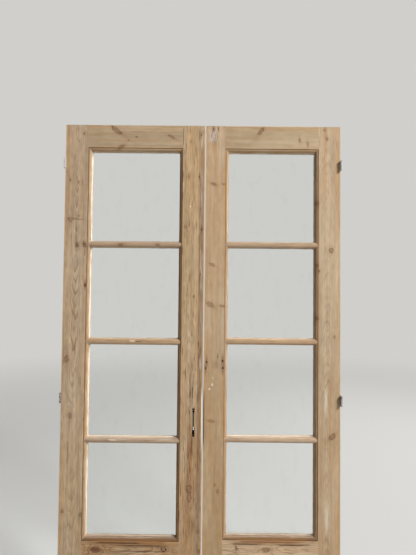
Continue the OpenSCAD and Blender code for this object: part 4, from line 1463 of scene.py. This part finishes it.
def left_leaf() -> DoorLeaf:
    """The left leaf, with the lock."""
    # Its high paint share also paints a highlight on its reveal, which faces the lamp.
    hinge_stile = Board(
        "left_hinge_stile", Grain.UPRIGHT, Moulded.HIGH, srgb(192, 168, 140), low_tone=srgb(184, 159, 127),
        heart=(-640.0, 30.0), lean=-0.05, seed=1.0, lean_middle=1450.0, ring_w=3.3, figure=1.0,
        foot_figure=0.5, amber=0.2, streaks=1.2, mottle=0.6, dashes=0.35, stain=0.35, paint=0.85,
        knots=(Knot(2355, -608, 5), Knot(2316, -631, 4, dark=0.6), Knot(2115, -674, 4.5),
               Knot(2105, -633, 5), Knot(1912, -671, 10, 1.0, dark=0.9, ring=1.0),
               Knot(1916, -640, 5, 4.5, 84, 0.6), Knot(1931, -630, 5, dark=0.6),
               Knot(1784, -635, 8, 1.6, dark=1.0), Knot(1786, -597, 9, 1.5, 20, 1.0),
               Knot(1579, -589, 6, 1.4, dark=1.0), Knot(1207, -676, 11, 1.6), Knot(925, -653, 8, 1.9),
               Knot(452, -683, 7), Knot(436, -590, 8)),
        nails=(Nail(1580, -589, 4.0),),
        patches=(Patch(1784, -635, (6, 4), Stain.UMBER, 0.8, 0.7, 1.2),
                 Patch(1789, -598, (7, 5), Stain.UMBER, 0.8, 0.7, 1.2),
                 Patch(1745, -594, (22, 3), Stain.UMBER, 0.6),
                 Patch(1850, -640, (90, 5), Stain.BROWN, 0.5, 0.8, 1.4),
                 Patch(1500, -642, (120, 8), Stain.BROWN, 0.5, 0.9, 1.5, 0.8),
                 Patch(1255, -636, (60, 7), Stain.BROWN, 0.6, 0.9, 1.5, 0.5),
                 Patch(870, -656, (70, 5), Stain.UMBER, 0.45, 0.9, 1.5, 0.6),
                 Patch(750, -661, (80, 5), Stain.UMBER, 0.55, 0.9, 1.5, 0.4),
                 Patch(655, -645, (45, 5), Stain.UMBER, 0.5, 0.9, 1.5, 0.4)))
    # Its high stain share also paints shade on its moulding, which faces away from the lamp.
    lock_stile = Board(
        "left_lock_stile", Grain.UPRIGHT, Moulded.LOW, srgb(184, 157, 122), low_tone=srgb(172, 139, 101),
        heart=(-62.0, 48.0), lean=0.012, seed=2.0, lean_middle=900.0, ring_w=2.6, figure=0.45, streaks=1.3,
        mottle=0.6, dashes=0.7, stain=0.95, paint=0.1,
        knots=(Knot(2316, -64, 4, dark=0.5), Knot(1880, -85, 7, 1.1, dark=0.8, ring=0.8),
               Knot(1527, -39, 5), Knot(570, -52, 14, 1.5, dark=0.9, ring=0.35),
               Knot(525, -51, 11, 1.5, dark=0.8, ring=0.6), Knot(360, -7, 7), Knot(267, -1, 6, dark=1.0)),
        nails=(Nail(2353, -10), Nail(2136, -17, 3.5), Nail(1868, -3, 3.5), Nail(1640, -8, 2.5),
               Nail(1290, -12, 2.5)),
        patches=(Patch(1250, -5, (1400, 16), Stain.BROWN, 0.56, 0.6, 0.7),
                 Patch(1280, -8, (1200, 13), Stain.UMBER, 0.4, 0.6, 0.8, 1.0),
                 Patch(2345, -100, (55, 2.2), Stain.UMBER, 0.8, 0.4, 0.3),
                 Patch(1090, -48, (170, 18), Stain.RUSSET, 0.85, 0.9, 1.2, 1.0),
                 Patch(940, -54, (260, 8), Stain.RUSSET, 0.8, 0.9, 1.2, 1.0),
                 Patch(480, -40, (200, 34), Stain.RUSSET, 0.6, 0.9, 1.2, 1.0),
                 Patch(740, -50, (220, 20), Stain.OCHRE, 0.75, 0.9, 1.2, 0.3),
                 Patch(730, -54, (210, 16), Stain.RUSSET, 0.85, 0.9, 1.2, 1.0),
                 Patch(2330, -5, (70, 6), Stain.PAINT, 0.95, 0.4, 0.8, 0.8),
                 Patch(2040, -5, (170, 6), Stain.PAINT, 0.95, 0.5, 0.8, 0.9),
                 Patch(1640, -3, (150, 7), Stain.LIME, 0.95, 0.6, 0.8, 0.8),
                 Patch(1380, -3, (120, 6), Stain.PAINT, 0.95, 0.6, 0.8, 0.9),
                 Patch(1195, -3, (45, 9), Stain.LIME, 0.8, 0.6, 1.0, 0.7),
                 Patch(1225, -8, (22, 8), Stain.UMBER, 0.6, 0.9, 1.2, 0.6),
                 # Pale patch along the worn hollow of the meeting arris: a painted highlight where the lamp
                 # lights the hollow.
                 Patch(915, 6.5, (170, 3.4), Stain.FILLER_AND_HIGHLIGHT, 0.8, 0.5, 0.6),
                 # Pale strip along the meeting arris low down: a painted highlight on the lit arris.
                 Patch(480, 6, (160, 2.5), Stain.PAINT, 0.7, 0.5, 0.8, 0.7),
                 Patch(1985, -61, (6, 4), Stain.FILLER_AND_HIGHLIGHT),
                 Patch(1044, -40, (34, 2.4), Stain.BLACK, 0.9, 0.4, 0.8),
                 Patch(1044, -52, (30, 1.8), Stain.UMBER, 0.8, 0.4, 0.8),
                 Patch(913, -34.5, (50, 4.6), Stain.BLACK, 0.85, 0.3, 0.3),
                 Patch(790, -40, (64, 3.5), Stain.UMBER, 0.8, 0.6, 1.0)))
    top_rail = Board(
        "left_top_rail", Grain.LYING, Moulded.LOW, srgb(174, 152, 124), heart=(2210.0, 60.0), lean=0.03,
        seed=3.0, lean_middle=-350.0, ring_w=3.0, figure=0.25,
        knots=(Knot(-443, 2373, 10, 3.0, 36, 1.0, 0.4), Knot(-340, 2340, 4, dark=1.0),
               Knot(-381, 2324, 3.5, dark=0.9), Knot(-163, 2343, 6, 3.0, 28), Knot(-419, 2287, 8, 2.2, -35)))
    bottom_rail = Board(
        "left_bottom_rail", Grain.LYING, Moulded.HIGH, srgb(179, 147, 110), heart=(270.0, 20.0), lean=0.03,
        seed=4.0, lean_middle=-350.0, ring_w=4.2, sway=26.0, figure=1.0, amber=0.5, dashes=0.7, stain=1.25,
        paint=0.15,
        knots=(Knot(-512, 268, 13, 1.6, dark=1.0), Knot(-484, 262, 7, 1.8, 30),
               Knot(-175, 273, 11, 1.2, dark=1.0, ring=0.5), Knot(-330, 120, 11), Knot(-250, 190, 7, 1.6)),
        patches=(Patch(-345, 286, (230, 10), Stain.UMBER, 0.7, 0.8, 1.2, 0.8),
                 Patch(-345, 304, (236, 14), Stain.OCHRE, 0.75, 0.5, 0.8),
                 Patch(-400, 301, (170, 5), Stain.UMBER, 0.9, 0.7, 1.2),
                 Patch(-290, 289, (170, 4.5), Stain.UMBER, 0.85, 0.7, 1.2),
                 Patch(-520, 268, (34, 12), Stain.RUSSET, 0.9, 0.8, 1.4, 0.2),
                 Patch(-300, 262, (190, 4.5), Stain.RUSSET, 0.7, 0.8, 1.2),
                 Patch(-186, 273, (3.4, 9), Stain.BLACK, 0.85, 0.6, 1.2),
                 Patch(-166, 271, (3.2, 8), Stain.BLACK, 0.85, 0.6, 1.2),
                 Patch(-175, 262, (9, 4), Stain.BLACK, 0.8, 0.6, 1.2),
                 Patch(-430, 255, (120, 5), Stain.UMBER, 0.5, 0.8, 1.2, 0.8)))
    bar_knots = {1: (Knot(-413, 1788, 7, 1.5, dark=1.0), Knot(-226, 1788, 6, 1.4, dark=0.9))}
    bar_patches = {2: (Patch(-345, 1300, (18, 4), Stain.FILLER_AND_HIGHLIGHT, 0.9, 0.6, 1.4),
                       Patch(-318, 1298, (26, 4), Stain.UMBER, 0.8, 0.8, 1.4)),
                   3: (Patch(-440, 806, (24, 4), Stain.FILLER_AND_HIGHLIGHT, 0.9, 0.6, 1.4),
                       Patch(-300, 809, (200, 2.6), Stain.LIME, 0.9, 0.7, 1.2, 0.9),
                       Patch(-290, 805, (110, 3), Stain.UMBER, 0.7, 0.8, 1.4, 0.9))}
    bars = glazing_bars("left", bar_knots, bar_patches)
    return DoorLeaf("left", (hinge_stile, lock_stile, top_rail, bottom_rail, *bars))


def right_leaf() -> DoorLeaf:
    """The right leaf, with the strike."""
    meeting_stile = Board(
        "right_meeting_stile", Grain.UPRIGHT, Moulded.HIGH, srgb(184, 157, 125), low_tone=srgb(172, 143, 106),
        heart=(20.0, 75.0), lean=-0.012, seed=5.0, ring_w=2.6, figure=0.14, amber=0.45, streaks=0.6,
        dashes=0.05, grime_and_shade=0.6, stain=0.4, paint=0.5,
        knots=(Knot(2101, 56, 7, 1.9, 72), Knot(2101, 106, 5, 1.4, 80, 0.7), Knot(2326, 62, 9, dark=0.7),
               Knot(1689, 52, 7, 1.9, 64, 0.65), Knot(1488, 44, 10, 1.9, 62, 0.65),
               Knot(1481, 105, 6, 2.2, 80, 0.7), Knot(906, 54, 7, 2.4, 80, 0.6), Knot(591, 76, 6, dark=0.6),
               Knot(559, 90, 7, 1.5, dark=0.6)),
        nails=(Nail(2384, 52), Nail(2385, 77, 2.5), Nail(1199, 29, 4.5), Nail(1169, 24, 4.0),
               Nail(1205, 109, 5.0), Nail(1170, 111, 5.0), Nail(1226, 85, 2.5)),
        patches=(Patch(2352, 50, (46, 32), Stain.LIME, 0.8, 0.8, 1.2, 0.25),
                 Patch(2362, 56, (34, 28), Stain.UMBER, 0.7, 0.5, 1.2, 1.0),
                 Patch(1087, 58, (7, 5), Stain.FILLER_AND_HIGHLIGHT, 0.85), Patch(1065, 45, (6, 5), Stain.FILLER_AND_HIGHLIGHT, 0.85),
                 Patch(1120, 62, (10, 3), Stain.FILLER_AND_HIGHLIGHT, 0.5),
                 Patch(1188, 66, (32, 46), Stain.BROWN, 0.5, 0.9, 1.6, 0.7),
                 # Dark strip along the worn hollow of the meeting arris: painted shade in the hollow that
                 # faces away from the lamp.
                 Patch(915, 17.3, (170, 3.4), Stain.UMBER, 0.8, 0.5, 0.6)))
    hinge_stile = Board(
        "right_hinge_stile", Grain.UPRIGHT, Moulded.LOW, srgb(181, 159, 132), low_tone=srgb(178, 151, 119),
        heart=(632.0, 45.0), lean=0.045, seed=6.0, lean_middle=700.0, ring_w=2.6, amber=0.4, stain=0.45,
        paint=0.25,
        knots=(Knot(2384, 620, 6), Knot(2338, 632, 6), Knot(1768, 655, 10, 1.1, dark=1.0, ring=0.5),
               Knot(1663, 593, 5, dark=1.0), Knot(1690, 584, 7, dark=1.0), Knot(2007, 584, 7, 1.6, dark=0.9),
               Knot(1424, 584, 7, dark=1.0), Knot(1331, 671, 5), Knot(834, 660, 10, 1.9, -50, 1.0, 0.4)),
        patches=(Patch(1010, 629, (78, 11), Stain.BLEACHED, 1.0, 0.8, 0.9),
                 Patch(430, 634, (95, 12), Stain.BLEACHED, 1.0, 0.8, 0.9)))
    top_rail = Board(
        "right_top_rail", Grain.LYING, Moulded.LOW, srgb(167, 144, 113), heart=(2205.0, 60.0), lean=-0.02,
        seed=7.0, lean_middle=350.0, ring_w=3.0, figure=0.12, streaks=0.45, mottle=0.3,
        knots=(Knot(295, 2374, 9, 2.4, -52, 0.9), Knot(493, 2330, 5, 2.0, 80),
               Knot(534, 2311, 5, 2.2, 84, 0.7)))
    bottom_rail = Board(
        "right_bottom_rail", Grain.LYING, Moulded.HIGH, srgb(195, 171, 141), heart=(285.0, 15.0), lean=-0.03,
        seed=8.0, lean_middle=350.0, ring_w=4.2, sway=26.0, figure=0.8, dashes=0.6, stain=1.25, paint=0.15,
        knots=(Knot(185, 286, 5, 1.6, 60, 1.0), Knot(333, 276, 11, 1.4, dark=1.0, ring=0.2),
               Knot(480, 140, 12)),
        patches=(Patch(345, 316, (236, 18), Stain.OCHRE, 0.65, 0.6, 0.8),
                 Patch(240, 303, (105, 5), Stain.UMBER, 0.85, 0.7, 1.2),
                 Patch(460, 300, (115, 5), Stain.UMBER, 0.85, 0.7, 1.2),
                 Patch(345, 314, (210, 4.5), Stain.RUSSET, 0.6, 0.7, 1.2),
                 Patch(186, 281, (15, 13), Stain.BLACK, 0.85, 0.8, 1.4, 1.0)))
    bars = glazing_bars("right", {}, {})
    return DoorLeaf("right", (meeting_stile, hinge_stile, top_rail, bottom_rail, *bars))


def main() -> None:
    """Builds and dresses the doors, then the studio."""
    logging.basicConfig(level=logging.INFO, format="%(name)s: %(message)s")
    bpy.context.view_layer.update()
    effects = Effects()
    putty = PuttyFinish(effects).material()
    glass = GlassFinish(effects).material()
    wedge = WedgeFinish(effects).material()
    bright = MetalFinish(effects, "bright_steel", (0.74, 0.74, 0.75), srgb(112, 100, 88), low=0.55, high=0.76,
                         rough=0.4, seed=1.0, shine=0.5).material()
    brown = MetalFinish(effects, "brown_steel", (0.5, 0.48, 0.46), srgb(88, 72, 58), low=0.42, high=0.64,
                        rough=0.45, seed=4.0, shine=0.6).material()
    brass = MetalFinish(effects, "lock_brass", (0.62, 0.5, 0.28), srgb(78, 66, 48), low=0.3, high=0.62,
                        rough=0.34, seed=2.0).material()
    iron = MetalFinish(effects, "lock_iron", (0.05, 0.045, 0.04), srgb(40, 27, 20), low=0.15, high=0.5,
                       rough=0.7, seed=3.0, dulled=1.0).material()
    for leaf in (left_leaf(), right_leaf()):
        leaf.build(putty)
        leaf.dress(PineFinish(effects), glass, putty, wedge)
        Hinges(leaf.side).dress(bright, brown, effects)
    MortiseLock().dress(brass, iron, effects)
    Studio().build()


if __name__ == "__main__":
    main()
